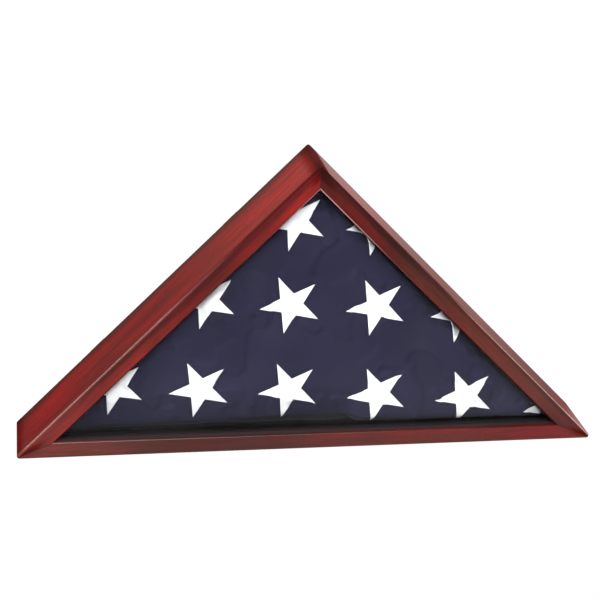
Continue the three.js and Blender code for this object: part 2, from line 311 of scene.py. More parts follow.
    pool = math_(nt, "MAXIMUM", pool0, between(nt, m1, 0.0, pools[3], pools[1], 0.0))
    pool = math_(nt, "MULTIPLY", pool, between(nt, u, 0.006, 0.014, 1.0, 0.25))
    sunk = between(nt, pool, 0.05, 0.65)                                # end grain here drinks the lacquer
    pool = math_(nt, "MULTIPLY", pool, between(nt, streak, 0.35, 0.65, 0.8, 1.0))
    shade = math_(nt, "MAXIMUM", math_(nt, "MAXIMUM", band, back), math_(nt, "MAXIMUM", seam, pool))
    base = mix(nt, shade, base, DARK)
    # the inner faces take painted light and shade: lighter in front of the pane, near black behind it
    painted_lit_ledge = between(nt, y, 0.0098, 0.0102, 1.0, 0.0)                    # painted light: in front of the pane the ledge is painted lighter
    painted_recess_shade = mix(nt, between(nt, y, 0.0130, 0.0230), (0.0180, 0.0138, 0.0146), (0.0004, 0.0004, 0.0005))      # painted shade: behind the pane, darker towards the flag's foot, near black
    full = math_(nt, "MULTIPLY", inner, between(nt, y, 0.040, 0.075, 1.177, 1.0), clamp=True)
    base = mix(nt, full, base, mix(nt, painted_lit_ledge, painted_recess_shade, (0.0290, 0.0180, 0.0180)))
    arris = between(nt, front, 0.0020, 0.0030, 1.0, 0.0)
    edge_glint = ramp(nt, math_(nt, "DIVIDE", s, 0.66), edge_glint_stops, "EASE")
    # the very edge is worn lighter: part real wear, part painted highlight along the arris
    worn_glint = math_(nt, "MULTIPLY", math_(nt, "MULTIPLY", between(nt, front, worn_glint_width[0], worn_glint_width[1], 1.0, 0.0), edge_glint), between(nt, cloud, 0.38, 0.60, wear_glint[0], wear_glint[1]))
    base = mix(nt, worn_glint, base, worn_glint_colour)
    dull = math_(nt, "MULTIPLY", arris, math_(nt, "SUBTRACT", 1.0, edge_glint))      # where the stain still sits on the edge
    base = mix(nt, math_(nt, "MULTIPLY", dull, 0.75), base, DARK)
    # painted highlight: a light line along the inner front bevel, strong where set along the board; where it fades, the
    # bevel is darkened and made matt
    bevel_highlight_mask = math_(nt, "MULTIPLY", between(nt, u, T - 0.0019, T - 0.0013), between(nt, y, 0.0018, 0.0026, 1.0, 0.0))
    bevel_highlight_mask = math_(nt, "MULTIPLY", bevel_highlight_mask, ramp(nt, math_(nt, "DIVIDE", s, 0.66), bevel_highlight_stops, "EASE"))
    painted_bevel_highlight = between(nt, bevel_highlight_mask, 0.35, 1.0)
    flatlip = math_(nt, "MULTIPLY", math_(nt, "MULTIPLY", between(nt, u, T - 0.0019, T - 0.0013), between(nt, y, 0.0018, 0.0026, 1.0, 0.0)),
                    between(nt, bevel_highlight_mask, 0.0, 0.40, 1.0, 0.0))
    base = mix(nt, painted_bevel_highlight, base, (0.40, 0.17, 0.15))
    base = mix(nt, math_(nt, "MULTIPLY", flatlip, 0.65), base, DARK)

    rough = between(nt, fine, 0.3, 0.7, 0.30, 0.42, "LINEAR")
    rough = math_(nt, "ADD", rough, math_(nt, "MULTIPLY", inner, 0.45))
    cut = between(nt, rear, 0.0012, 0.0026, 0.86, 0.0)                   # the rear arris is rubbed through to the stain
    matt = math_(nt, "MAXIMUM", math_(nt, "MAXIMUM", sunk, cut), math_(nt, "MAXIMUM", math_(nt, "MULTIPLY", dull, 0.85), math_(nt, "MULTIPLY", flatlip, 0.9)))
    coat = math_(nt, "SUBTRACT", math_(nt, "SUBTRACT", 0.9, inner), matt, clamp=True)
    thin = math_(nt, "MULTIPLY", side, math_(nt, "SUBTRACT", 1.0, ramp(nt, math_(nt, "DIVIDE", s, 0.66), veil_stops, "EASE")))
    coat = math_(nt, "MULTIPLY", coat, math_(nt, "SUBTRACT", 1.0, thin))
    height = math_(nt, "SUBTRACT", math_(nt, "MULTIPLY", fine, 0.35), math_(nt, "MULTIPLY", pores, 0.8))
    under = bump(nt, height, 0.22, 0.0004)
    peel = noise_(nt, at, 260.0, 2.0, 0.5)
    skin = bump(nt, math_(nt, "ADD", peel, math_(nt, "MULTIPLY", pores, -0.18)), 0.055, 0.0009)
    p = principled(nt, o, Base_Color=base, Roughness=rough, IOR=1.48, Specular_IOR_Level=0.0, Normal=under,
                   Coat_Weight=coat, Coat_Roughness=0.27, Coat_IOR=1.5)
    nt.links.new(skin, p.inputs["Coat Normal"])
    return m


wood_left = mahogany("mahogany_left", 1.7, [(0.0, 0.55), (0.10, 0.58), (0.30, 0.46), (0.44, 0.52), (0.58, 0.80), (0.69, 1.00)],
                     [(0.0, 0.0), (0.14, 0.12), (0.27, 0.75), (0.42, 1.0), (0.56, 0.85), (0.69, 0.75)],
                     [(0.0, 0.2), (0.30, 0.15), (0.50, 0.25), (0.68, 0.75)], (0.80, 1.0, 0.012, 0.017), 0.0, 0.96,
                     [(0.0, 0.55), (0.32, 0.50), (0.44, 0.20), (0.56, 0.0)], [(0.0, 0.56), (0.25, 0.60), (0.45, 0.45), (0.60, 0.30), (0.69, 0.26)], (1.02, 1.42),
                    front_stops=[(0.0, 0.62), (0.09, 0.66), (0.18, 0.47), (0.30, 0.70), (0.42, 0.50), (0.55, 0.50), (0.64, 0.59)], far_value=(0.85, 0.52))
wood_right = mahogany("mahogany_right", 4.2, [(0.0, 0.25), (0.09, 0.52), (0.15, 0.40), (0.24, 0.10), (0.45, 0.18), (0.60, 0.30), (0.69, 0.55)],
                      [(0.0, 0.9), (0.10, 0.5), (0.18, 0.75), (0.30, 0.40), (0.50, 0.10), (0.68, 0.3)],
                      [(0.0, 0.85), (0.12, 0.75), (0.24, 0.35), (0.40, 0.05), (0.68, 0.0)], (1.0, 0.60, 0.026, 0.009), 0.04, 0.72,
                      [(0.0, 0.0), (0.30, 0.05), (0.42, 0.65), (0.69, 1.0)], [(0.0, 0.50), (0.3, 0.56), (0.69, 0.62)], (1.45, 1.25),
                     front_stops=[(0.0, 0.48), (0.09, 0.42), (0.18, 0.44), (0.30, 0.72), (0.42, 0.84), (0.55, 0.86), (0.64, 0.52)],
                     veil_stops=[(0.0, 1.0), (0.09, 1.0), (0.18, 0.86), (0.30, 0.72), (0.42, 0.92), (0.60, 0.95)],
                     wear_glint=(0.34, 0.62), worn_glint_colour=(0.34, 0.20, 0.16), worn_glint_width=(0.00145, 0.00205), side_reach=0.5)
wood_base = mahogany("mahogany_base", 8.9, [(0.0, 0.55), (0.09, 0.92), (0.20, 0.50), (0.40, 0.32), (0.62, 0.14), (0.80, 0.12), (1.0, 0.30)],
                     [(0.0, 0.1), (0.3, 0.0), (0.6, 0.1), (1.0, 0.0)],
                     [(0.0, 0.05), (0.5, 0.1), (1.0, 0.2)], (0.45, 0.35, 0.009, 0.009), 0.05, 0.76,
                     [(0.0, 0.5), (1.0, 0.4)],
                     front_stops=[(0.0, 0.52), (0.12, 0.47), (0.27, 0.70), (0.42, 0.74), (0.57, 0.44), (0.73, 0.40), (0.87, 0.72), (0.94, 0.84)])


def beech():
    m, nt, o = material("beech")
    at = node(nt, "ShaderNodeTexCoord").outputs["Object"]
    x, y, z = split(nt, at)
    g = noise_(nt, vec(nt, x, math_(nt, "MULTIPLY", y, 0.06), z), 700.0, 3.0)
    fleck = between(nt, noise_(nt, vec(nt, x, math_(nt, "MULTIPLY", y, 0.3), z), 1600.0, 1.0), 0.60, 0.68)
    c = ramp(nt, g, [(0.3, (0.42, 0.25, 0.13)), (0.7, (0.56, 0.37, 0.21))], "LINEAR")
    c = mix(nt, math_(nt, "MULTIPLY", fleck, 0.5), c, (0.26, 0.13, 0.06))
    principled(nt, o, Base_Color=c, Roughness=0.6, Normal=bump(nt, g, 0.25, 0.0004))
    return m


def hardboard():
    """Dark stained hardboard: pressed fibres, a few lighter ones, a faint pressed sheen."""
    m, nt, o = material("panel_board")
    at = node(nt, "ShaderNodeTexCoord").outputs["Object"]
    mottle = noise_(nt, at, 55.0, 4.0, 0.6)
    fibre = node(nt, "ShaderNodeTexVoronoi", Vector=at, Scale=900.0, set_feature="F1")
    fibre = between(nt, fibre.outputs["Distance"], 0.1, 0.6)
    x, y, z = split(nt, at)
    hair = noise_(nt, vec(nt, math_(nt, "MULTIPLY", x, 0.25), y, z), 1300.0, 2.0, 0.6, 1.2)
    c = ramp(nt, mottle, [(0.30, (0.030, 0.0155, 0.0100)), (0.70, (0.046, 0.0245, 0.0155))], "LINEAR")
    c = mix(nt, math_(nt, "MULTIPLY", between(nt, hair, 0.58, 0.72), 0.55), c, (0.115, 0.066, 0.040))
    c = mix(nt, math_(nt, "MULTIPLY", fibre, 0.18), c, (0.02, 0.011, 0.008))
    h = math_(nt, "ADD", math_(nt, "MULTIPLY", hair, 0.6), math_(nt, "MULTIPLY", fibre, 0.4))
    principled(nt, o, Base_Color=c, Roughness=between(nt, mottle, 0.3, 0.7, 0.50, 0.60, "LINEAR"),
               Specular_IOR_Level=0.32, Normal=bump(nt, h, 0.3, 0.0004))
    return m


def felt():
    m, nt, o = material("felt")
    at = node(nt, "ShaderNodeTexCoord").outputs["Object"]
    a = noise_(nt, at, 420.0, 4.0, 0.7, 1.5)
    b = noise_(nt, at, 1900.0, 2.0, 0.6)
    c = ramp(nt, a, [(0.3, (0.004, 0.004, 0.005)), (0.7, (0.014, 0.0135, 0.015))], "LINEAR")
    c = mix(nt, math_(nt, "MULTIPLY", between(nt, b, 0.6, 0.72), 0.4), c, (0.05, 0.048, 0.05))
    h = math_(nt, "ADD", a, math_(nt, "MULTIPLY", b, 0.5))
    principled(nt, o, Base_Color=c, Roughness=0.95, Specular_IOR_Level=0.15,
               Sheen_Weight=0.35, Sheen_Roughness=0.5, Sheen_Tint=(0.10, 0.10, 0.11),
               Normal=bump(nt, h, 0.7, 0.0006))
    return m


def glass():
    m, nt, o = material("glass")
    at = node(nt, "ShaderNodeTexCoord").outputs["Object"]
    wave = noise_(nt, at, 9.0, 1.0)
    normal = bump(nt, wave, 0.02, 0.002)
    inside = node(nt, "ShaderNodeNewGeometry").outputs["Backfacing"]
    ior = math_(nt, "SUBTRACT", 1.5, math_(nt, "MULTIPLY", inside, 1.5 - 1 / 1.5))    # the same at either surface
    fres = node(nt, "ShaderNodeFresnel", IOR=ior, Normal=normal).outputs[0]
    dust = between(nt, noise_(nt, at, 14.0, 3.0, 0.6), 0.35, 0.8, 0.0, 1.0)
    clear = node(nt, "ShaderNodeBsdfTransparent", Color=(0.975, 0.980, 0.980))
    gloss = node(nt, "ShaderNodeBsdfGlossy", Color=(1, 1, 1), Roughness=0.02, Normal=normal)
    haze = node(nt, "ShaderNodeBsdfDiffuse", Color=(0.55, 0.57, 0.58))
    body = node(nt, "ShaderNodeMixShader", i0=math_(nt, "MULTIPLY", dust, 0.005), i1=clear.outputs[0], i2=haze.outputs[0])
    a = node(nt, "ShaderNodeMixShader", i0=math_(nt, "POWER", fres, 1.4), i1=body.outputs[0], i2=gloss.outputs[0])
    nt.links.new(a.outputs[0], o.inputs["Surface"])
    return m


def brass():
    m, nt, o = material("brass")
    at = node(nt, "ShaderNodeTexCoord").outputs["Object"]
    x, y, z = split(nt, at)
    tarnish = noise_(nt, at, 160.0, 4.0, 0.6)
    brush = noise_(nt, vec(nt, math_(nt, "MULTIPLY", math_(nt, "ADD", x, z), 0.06), y, math_(nt, "SUBTRACT", x, z)), 2600.0, 2.0)
    c = ramp(nt, tarnish, [(0.3, (0.42, 0.27, 0.09)), (0.7, (0.72, 0.52, 0.21))], "LINEAR")
    r = math_(nt, "ADD", between(nt, tarnish, 0.3, 0.7, 0.40, 0.24, "LINEAR"), math_(nt, "MULTIPLY", brush, 0.10))
    principled(nt, o, Base_Color=c, Metallic=1.0, Roughness=r, Normal=bump(nt, brush, 0.10, 0.0002))
    return m


def steel():
    m, nt, o = material("screw_steel")
    at = node(nt, "ShaderNodeTexCoord").outputs["Object"]
    a = noise_(nt, at, 700.0, 3.0, 0.6)
    c = ramp(nt, a, [(0.3, (0.50, 0.43, 0.27)), (0.7, (0.70, 0.62, 0.42))], "LINEAR")
    principled(nt, o, Base_Color=c, Metallic=1.0, Roughness=between(nt, a, 0.3, 0.7, 0.26, 0.42, "LINEAR"),
               Normal=bump(nt, a, 0.12, 0.0002))
    return m


def cotton(name, dark, light, sheen, thread=0.00075, slub=0.5, spec=0.25, rough=0.82, strength=0.22):
    """Plain weave in the cloth's own flat coordinates: warp and weft threads, with slubs. Shade is painted between the
    threads and along the cloth's lowest edge.
    """
    m, nt, o = material(name)
    at = attribute(nt, "cloth_at").outputs["Vector"]
    x, y, z = split(nt, at)
    wob = math_(nt, "MULTIPLY", math_(nt, "SUBTRACT", noise_(nt, at, 45.0, 2.0), 0.5), 0.0016)
    k = math.pi / thread
    sx = math_(nt, "SINE", math_(nt, "MULTIPLY", math_(nt, "ADD", x, wob), k))
    sy = math_(nt, "SINE", math_(nt, "MULTIPLY", math_(nt, "SUBTRACT", y, wob), k))
    over = math_(nt, "MULTIPLY", sx, sy)                                  # which thread lies on top
    warp = math_(nt, "ABSOLUTE", sx)
    weft = math_(nt, "ABSOLUTE", sy)
    top = math_(nt, "MULTIPLY", math_(nt, "ADD", math_(nt, "SIGN", over), 1.0), 0.5)
    weave = math_(nt, "ADD", math_(nt, "MULTIPLY", warp, top), math_(nt, "MULTIPLY", weft, math_(nt, "SUBTRACT", 1.0, top)))
    slub_x = noise_(nt, vec(nt, math_(nt, "MULTIPLY", x, 0.05), y, z), 950.0, 2.0, 0.6)
    slub_y = noise_(nt, vec(nt, x, math_(nt, "MULTIPLY", y, 0.05), z), 950.0, 2.0, 0.6)
    slubs = math_(nt, "ADD", math_(nt, "MULTIPLY", slub_x, 0.5), math_(nt, "MULTIPLY", slub_y, 0.5))
    fade = noise_(nt, at, 11.0, 3.0, 0.55)
    lightness = math_(nt, "ADD", math_(nt, "MULTIPLY", slubs, slub), math_(nt, "MULTIPLY", fade, 1.0 - slub))
    c = ramp(nt, lightness, [(0.36, dark), (0.64, light)], "LINEAR")
    # painted shade between the threads
    gap = between(nt, weave, 0.05, 0.55, 0.14, 0.0)
    c = mix(nt, gap, c, tuple(0.5 * v for v in dark))
    c = mix(nt, between(nt, y, 0.0160, 0.0300, 0.88, 0.0), c, tuple(0.12 * v for v in dark))      # painted shade: darkened along the cloth's lowest edge, where it rolls under onto the board
    h = math_(nt, "ADD", math_(nt, "MULTIPLY", weave, 0.6), math_(nt, "MULTIPLY", slubs, 0.9))
    principled(nt, o, Base_Color=c, Roughness=rough, Specular_IOR_Level=spec,
               Sheen_Weight=sheen[0], Sheen_Roughness=0.4, Sheen_Tint=sheen[1],
               Normal=bump(nt, h, strength, 0.00035))
    return m


def satin_thread(name):
    """White embroidery thread; the stitches run across cloth_at.z, which counts along the rim."""
    m, nt, o = material(name)
    at = attribute(nt, "cloth_at").outputs["Vector"]
    x, y, z = split(nt, at)
    rim = attribute(nt, "rim").outputs["Fac"]
    rim = between(nt, rim, 0.35, 0.65)
    wob = math_(nt, "MULTIPLY", math_(nt, "SUBTRACT", noise_(nt, at, 300.0, 2.0), 0.5), 0.0009)
    body = math_(nt, "ABSOLUTE", math_(nt, "SINE", math_(nt, "MULTIPLY", math_(nt, "ADD", math_(nt, "ADD", math_(nt, "MULTIPLY", x, 0.91), math_(nt, "MULTIPLY", y, 0.42)), wob), math.pi / 0.0009)))
    edge = math_(nt, "ABSOLUTE", math_(nt, "SINE", math_(nt, "MULTIPLY", math_(nt, "ADD", z, wob), math.pi / 0.0007)))
    stitch = math_(nt, "ADD", math_(nt, "MULTIPLY", body, math_(nt, "SUBTRACT", 1.0, rim)), math_(nt, "MULTIPLY", edge, rim))
    stitch = math_(nt, "POWER", stitch, 0.6)
    soft = noise_(nt, at, 60.0, 3.0)
    c = ramp(nt, soft, [(0.35, (0.80, 0.80, 0.81)), (0.65, (0.90, 0.90, 0.905))], "LINEAR")
    # painted shade between the stitches
    c = mix(nt, between(nt, stitch, 0.0, 0.45, 0.22, 0.0), c, (0.50, 0.50, 0.55))
    principled(nt, o, Base_Color=c, Roughness=0.55, Specular_IOR_Level=0.35,
               Sheen_Weight=0.15, Sheen_Roughness=0.35, Normal=bump(nt, stitch, 0.35, 0.0003))
    return m


m_beech, m_panel, m_felt, m_glass, m_brass, m_steel = beech(), hardboard(), felt(), glass(), brass(), steel()
m_navy = cotton("flag_navy_cotton", (0.0076, 0.0062, 0.0235), (0.0140, 0.0116, 0.0400), (0.16, (0.38, 0.34, 0.62)))
m_thread = satin_thread("flag_white_thread")


# ------------------------------------------------------------------ mesh helpers
def mesh_object(name, verts, faces, mat, sharp=32.0, attrs=None, recalc=True, merge=0.0):
    me = bpy.data.meshes.new(name)
    me.from_pydata([tuple(float(c) for c in v) for v in verts], [], [tuple(int(i) for i in f) for f in faces])
    me.update()
    for key, (kind, data) in (attrs or {}).items():
        a = me.attributes.new(key, kind, "POINT")
        flat = np.asarray(data, dtype=np.float32).ravel()
        a.data.foreach_set("vector" if kind == "FLOAT_VECTOR" else "value", flat)
    if recalc or merge:
        bm = bmesh.new()
        bm.from_mesh(me)
        if merge:
            bmesh.ops.remove_doubles(bm, verts=bm.verts, dist=merge)
        if recalc:
            bmesh.ops.recalc_face_normals(bm, faces=bm.faces)
        bm.to_mesh(me)
        bm.free()
    me.polygons.foreach_set("use_smooth", [True] * len(me.polygons))
    if sharp is not None:
        me.set_sharp_from_angle(angle=math.radians(sharp))
    me.materials.append(mat)
    ob = bpy.data.objects.new(name, me)
    COL.objects.link(ob)
    return ob


def arc(cx, cy, r, a0, a1, n, skip_first=False):
    pts = []
    for k in range(1 if skip_first else 0, n + 1):
        a = math.radians(a0 + (a1 - a0) * k / n)
        pts.append((cx + r * math.cos(a), cy + r * math.sin(a)))
    return pts


def inset_triangle(d):
    """The case's outer triangle moved in by d: left foot, right foot, apex, as (x, z)."""
    r = HALF * (math.sqrt(2) - 1)
    c = np.array([0.0, r])
    P = np.array([[-HALF, 0.0], [HALF, 0.0], [0.0, HALF]])
    return c + (P - c) * (1 - d / r)


def rounded(P, rad, n=8):
    """A closed polygon with each corner turned into an arc."""
    pts = []
    m = len(P)
    for i in range(m):
        p = P[i]
        a = P[(i - 1) % m] - p
        b = P[(i + 1) % m] - p
        a = a / np.linalg.norm(a)
        b = b / np.linalg.norm(b)
        half = math.acos(float(a @ b)) / 2
        if rad < 1e-6:
            pts.append(p)
            continue
        bis = (a + b) / np.linalg.norm(a + b)
        c = p + bis * rad / math.sin(half)
        f = p + a * rad / math.tan(half) - c
        t = p + b * rad / math.tan(half) - c
        ang = math.atan2(f[0] * t[1] - f[1] * t[0], float(f @ t))
        for k in range(n + 1):
            th = ang * k / n
            co, si = math.cos(th), math.sin(th)
            pts.append(c + np.array([co * f[0] - si * f[1], si * f[0] + co * f[1]]))
    return np.array(pts)


def slab(name, outline, y0, y1, edge, mat, sharp=32.0, steps=3):
    """A flat plate between y0 and y1. outline(d) gives its edge moved in by d, always
    with the same number of points; its arrises are rounded by edge."""
    rings = []
    for k in range(steps + 1):
        a = math.pi / 2 * k / steps
        rings.append((outline(edge * (1 - math.sin(a))), y0 + edge * (1 - math.cos(a))))
    for k in range(steps + 1):
        a = math.pi / 2 * k / steps
        rings.append((outline(edge * (1 - math.cos(a))), y1 - edge * (1 - math.sin(a))))
    n = len(rings[0][0])
    verts, faces = [], []
    for P, y in rings:
        verts += [(q[0], y, q[1]) for q in P]
    for r in range(len(rings) - 1):
        for i in range(n):
            j = (i + 1) % n
            faces.append((r * n + i, r * n + j, (r + 1) * n + j, (r + 1) * n + i))
    faces.append(tuple(range(n)))
    faces.append(tuple(range((len(rings) - 1) * n, len(rings) * n))[::-1])
    return mesh_object(name, verts, faces, mat, sharp)


# ------------------------------------------------------------------ boards
def board_profile():
    """The board's section as (u in from the outer face, y back from the front edge)."""
    rf, rr, bev, ge = 0.0025, 0.0015, 0.0016, 0.0003
    D = DEPTH
    p = []
    p += [(0.0, D - rr - 0.0004), (0.0, rf + 0.0004)]                            # outer face
    p += arc(rf, rf, rf, 180, 270, 7)                                             # front roundover
    p += [(rf + 0.0004, 0.0), (T - bev - 0.0006, 0.0)]
    p += [(T - bev - 0.0002, 0.00003), (T - bev + 0.0001, 0.00018)]
    p += [(T - 0.00018, bev - 0.0001), (T - 0.00003, bev + 0.0002), (T, bev + 0.0006)]   # inner bevel
    p += [(T, 0.010 - ge), (T - ge, 0.010), (0.014, 0.010), (0.014, 0.013), (T - ge, 0.013), (T, 0.013 + ge)]
    p += [(T, 0.0844 - ge), (T - ge, 0.0844), (0.011, 0.0844), (0.011, D - ge), (0.011 - ge, D)]
    p += [(rr + 0.0004, D)]
    p += arc(rr, D - rr, rr, 90, 180, 5)
    return p


def board(name, start, end, inward, half0, half1, mat):
    start, end, n = np.array(start), np.array(end), np.array(inward)
    L = np.linalg.norm(end - start)
    d = (end - start) / L
    prof = board_profile()
    m = len(prof)
    verts, sections = [], []

    def add(s, u, y):
        p = start + d * s + n * u
        verts.append((p[0], Y0 + y, p[1]))
        return len(verts) - 1

    K = 8

    def corner(half, flip):
        # sections from the mitre plane round to the tangent of the outer corner
        res = []
        shared = {}
        for k in range(K + 1):
            phi = (math.pi / 2 - half) * k / K             # 0 on the mitre, up to square to the face
            row = []
            for i, (u, y) in enumerate(prof):
                if u < CORNER:
                    cs, cu = CORNER / math.tan(half), CORNER
                    # direction from the arc's centre: along -bisector at the mitre, -n at the tangent
                    base = math.pi / 2 + half + phi       # measured from +s towards +u, then mirrored below
                    s = cs - (CORNER - u) * math.cos(half + phi)
                    uu = cu - (CORNER - u) * math.sin(half + phi)
                    row.append((s, uu, y))
                else:
                    row.append((u / math.tan(half), u, y))
            res.append(row)
        return res

    first = corner(half0, False)
    last = corner(half1, True)
    gap = 0.000012
    for k, row in enumerate(first):
        ids = []
        for i, (s, u, y) in enumerate(row):
            if k and prof[i][0] >= CORNER:
                ids.append(sections[0][i])
                continue
            off = gap / math.sin(half0) if k == 0 or prof[i][0] >= CORNER else 0.0
            ids.append(add(s + off, u, y))
        sections.append(ids)
    straight = [0.0006, 0.02, 0.25, 0.5, 0.75, 0.98, 0.9994]
    for w in straight:
        ids = []
        for u, y in prof:
            a = max(u, CORNER) / math.tan(half0)
            b = L - max(u, CORNER) / math.tan(half1)
            ids.append(add(a + (b - a) * w, u, y))
        sections.append(ids)
    tail = []
    end_ids = {}
    for k, row in enumerate(last):
        ids = []
        for i, (s, u, y) in enumerate(row):
            if k and prof[i][0] >= CORNER:
                ids.append(tail[0][i])
                continue
            off = gap / math.sin(half1) if k == 0 or prof[i][0] >= CORNER else 0.0
            ids.append(add(L - s - off, u, y))
        tail.append(ids)
    sections += tail[::-1]
    faces = []
    for a, b in zip(sections, sections[1:]):
        for i in range(m):
            j = (i + 1) % m
            f = []
            for v in (a[i], a[j], b[j], b[i]):
                if v not in f:
                    f.append(v)
            if len(f) > 2:
                faces.append(tuple(f))
    faces.append(tuple(sections[0]))
    faces.append(tuple(sections[-1][::-1]))
    V = np.array(verts)
    rel = V[:, [0, 2]] - start
    s, u, y = rel @ d, rel @ n, V[:, 1] - Y0
    attrs = {
        "grain_at": ("FLOAT_VECTOR", np.stack([s, u, y], 1)),
        "mitre_from": ("FLOAT", s * math.sin(half0) - u * math.cos(half0)),
        "mitre_to": ("FLOAT", (L - s) * math.sin(half1) - u * math.cos(half1)),
    }
    ob = mesh_object(name, V, faces, mat, 33.0, attrs)
    bm = bmesh.new()
    bm.from_mesh(ob.data)
    bmesh.ops.triangulate(bm, faces=[f for f in bm.faces if len(f.verts) > 4])
    bm.to_mesh(ob.data)
    bm.free()
    ob.data.set_sharp_from_angle(angle=math.radians(33))
    return ob


A22, A45 = math.radians(22.5), math.radians(45)
FOOT_L, FOOT_R, APEX = (-HALF, 0.0), (HALF, 0.0), (0.0, HALF)
left = board("case_board_left", FOOT_L, APEX, (ROOT, -ROOT), A22, A45, wood_left)
right = board("case_board_right", APEX, FOOT_R, (-ROOT, -ROOT), A45, A22, wood_right)
base = board("case_board_base", FOOT_R, FOOT_L, (0.0, 1.0), A22, A22, wood_base)
for ob, cad in ((left, "left_side_board"), (right, "right_side_board"), (base, "base_board")):
    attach(ob, "case")
    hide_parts(cad)

for cad in ("mitre_spline_apex", "mitre_spline_left", "mitre_spline_right"):
    o = bpy.data.objects[cad]
    o.data.materials.clear() if False else None
    for sl in o.material_slots:
        sl.material = m_beech
    bev = o.modifiers.new("arris", "BEVEL")
    bev.width = 0.0002
    bev.segments = 1

# ------------------------------------------------------------------ glass, back panel, lining
pane = slab("case_glass", lambda d: rounded(inset_triangle(0.0146 + d), 0.0015, 4), Y0 + 0.0103, Y0 + 0.0127, 0.0003, m_glass, 30.0, 2)
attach(pane, "case")
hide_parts("glass_pane")

panel = slab("back_board", lambda d: rounded(inset_triangle(0.0116 + d), 0.004 - min(d, 0.003), 10), Y0 + 0.085, Y0 + 0.090, 0.0005, m_panel)
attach(panel, "back_panel")
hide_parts("back_panel")


def felt_sheet():
    """Felt lining: a fine grid with a soft nap, thinner and fuzzy at its cut edge."""
    P = inset_triangle(0.0206)
    ring = rounded(P, 0.003, 6)
    lo, hi = ring.min(0), ring.max(0)
    step = 0.0045
    dense = []
    for i in range(len(ring)):
        a, b = ring[i], ring[(i + 1) % len(ring)]
        k = max(1, int(round(np.linalg.norm(b - a) / step)))
        dense += [a + (b - a) * j / k for j in range(k)]
    ring = np.array(dense)
    n = len(ring)
    mid = np.array([0.0, HALF * (math.sqrt(2) - 1)])
    inner = ring + (mid - ring) * (0.0006 / np.linalg.norm(mid - ring, axis=1))[:, None] * 1.6
    pts = [Vector(p) for p in inner]
    e = [(i, (i + 1) % n) for i in range(n)]
    tri = inset_triangle(0.0206 + step * 0.8)
    z = lo[1]
    row = 0
    h = step * math.sqrt(3) / 2
    while z < hi[1]:
        z += h
        row += 1
        x = -HALF + (step / 2 if row % 2 else 0)
        while x < HALF:
            x += step
            if z > tri[0][1] and (x - tri[0][0]) > (z - tri[0][1]) and (tri[1][0] - x) > (z - tri[1][1]):
                pts.append(Vector((x, z)))
    co, _, fa, ov, _, _ = geometry.delaunay_2d_cdt(pts, e, [], 1, 1e-7)
    verts = [(p[0], Y0 + 0.0848, p[1]) for p in ring] + [(p[0], Y0 + 0.08395, p[1]) for p in ring]
    faces = [(i, (i + 1) % n, n + (i + 1) % n, n + i) for i in range(n)]
    idx = []
    for i, c in enumerate(co):
        nap = noise.noise(Vector((c[0] * 120, c[1] * 120, 3.1))) * 0.00012 + noise.noise(Vector((c[0] * 30, c[1] * 30, 7.7))) * 0.00010
        idx.append(len(verts))
        verts.append((c[0], Y0 + 0.08372 + nap, c[1]))
    border = {}
    for i, o in enumerate(ov):
        for q in o:
            if q < n:
                border[q] = idx[i]
    for i in range(n):
        faces.append((n + i, n + (i + 1) % n, border[(i + 1) % n], border[i]))
    for f in fa:
        faces.append(tuple(idx[i] for i in f))
    faces.append(tuple(range(n)))
    ob = mesh_object("back_board_felt", verts, faces, m_felt, 50.0)
    return ob


lining = felt_sheet()
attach(lining, "back_panel")
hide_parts("back_panel_lining")

# ------------------------------------------------------------------ turn buttons and screws
LEG = HALF * math.sqrt(2)
DIRS = {
    "left": (np.array([ROOT, ROOT]), np.array([ROOT, -ROOT]), np.array(FOOT_L)),
    "right": (np.array([ROOT, -ROOT]), np.array([-ROOT, -ROOT]), np.array(APEX)),
    "base": (np.array([-1.0, 0.0]), np.array([0.0, 1.0]), np.array(FOOT_R)),
}
BUTTONS = {
    "left_lower": ("left", 0.27 * LEG, 1), "left_upper": ("left", 0.72 * LEG, 1),
    "right_upper": ("right", 0.28 * LEG, -1), "right_lower": ("right", 0.73 * LEG, -1),
    "base_right": ("base", 0.165, 1), "base_left": ("base", 0.495, -1),
}


def stadium(n_side, n_end, R, reach):
    pts = []
    for k in range(n_end + 1):
        a = math.pi / 2 + math.pi * k / n_end
        pts.append((R * math.cos(a), R * math.sin(a)))
    for k in range(1, n_side):
        pts.append((reach * k / n_side, -R))
    for k in range(n_end + 1):
        a = -math.pi / 2 + math.pi * k / n_end
        pts.append((reach + R * math.cos(a), R * math.sin(a)))
    for k in range(1, n_side):
        pts.append((reach * (1 - k / n_side), R))
    return np.array(pts)


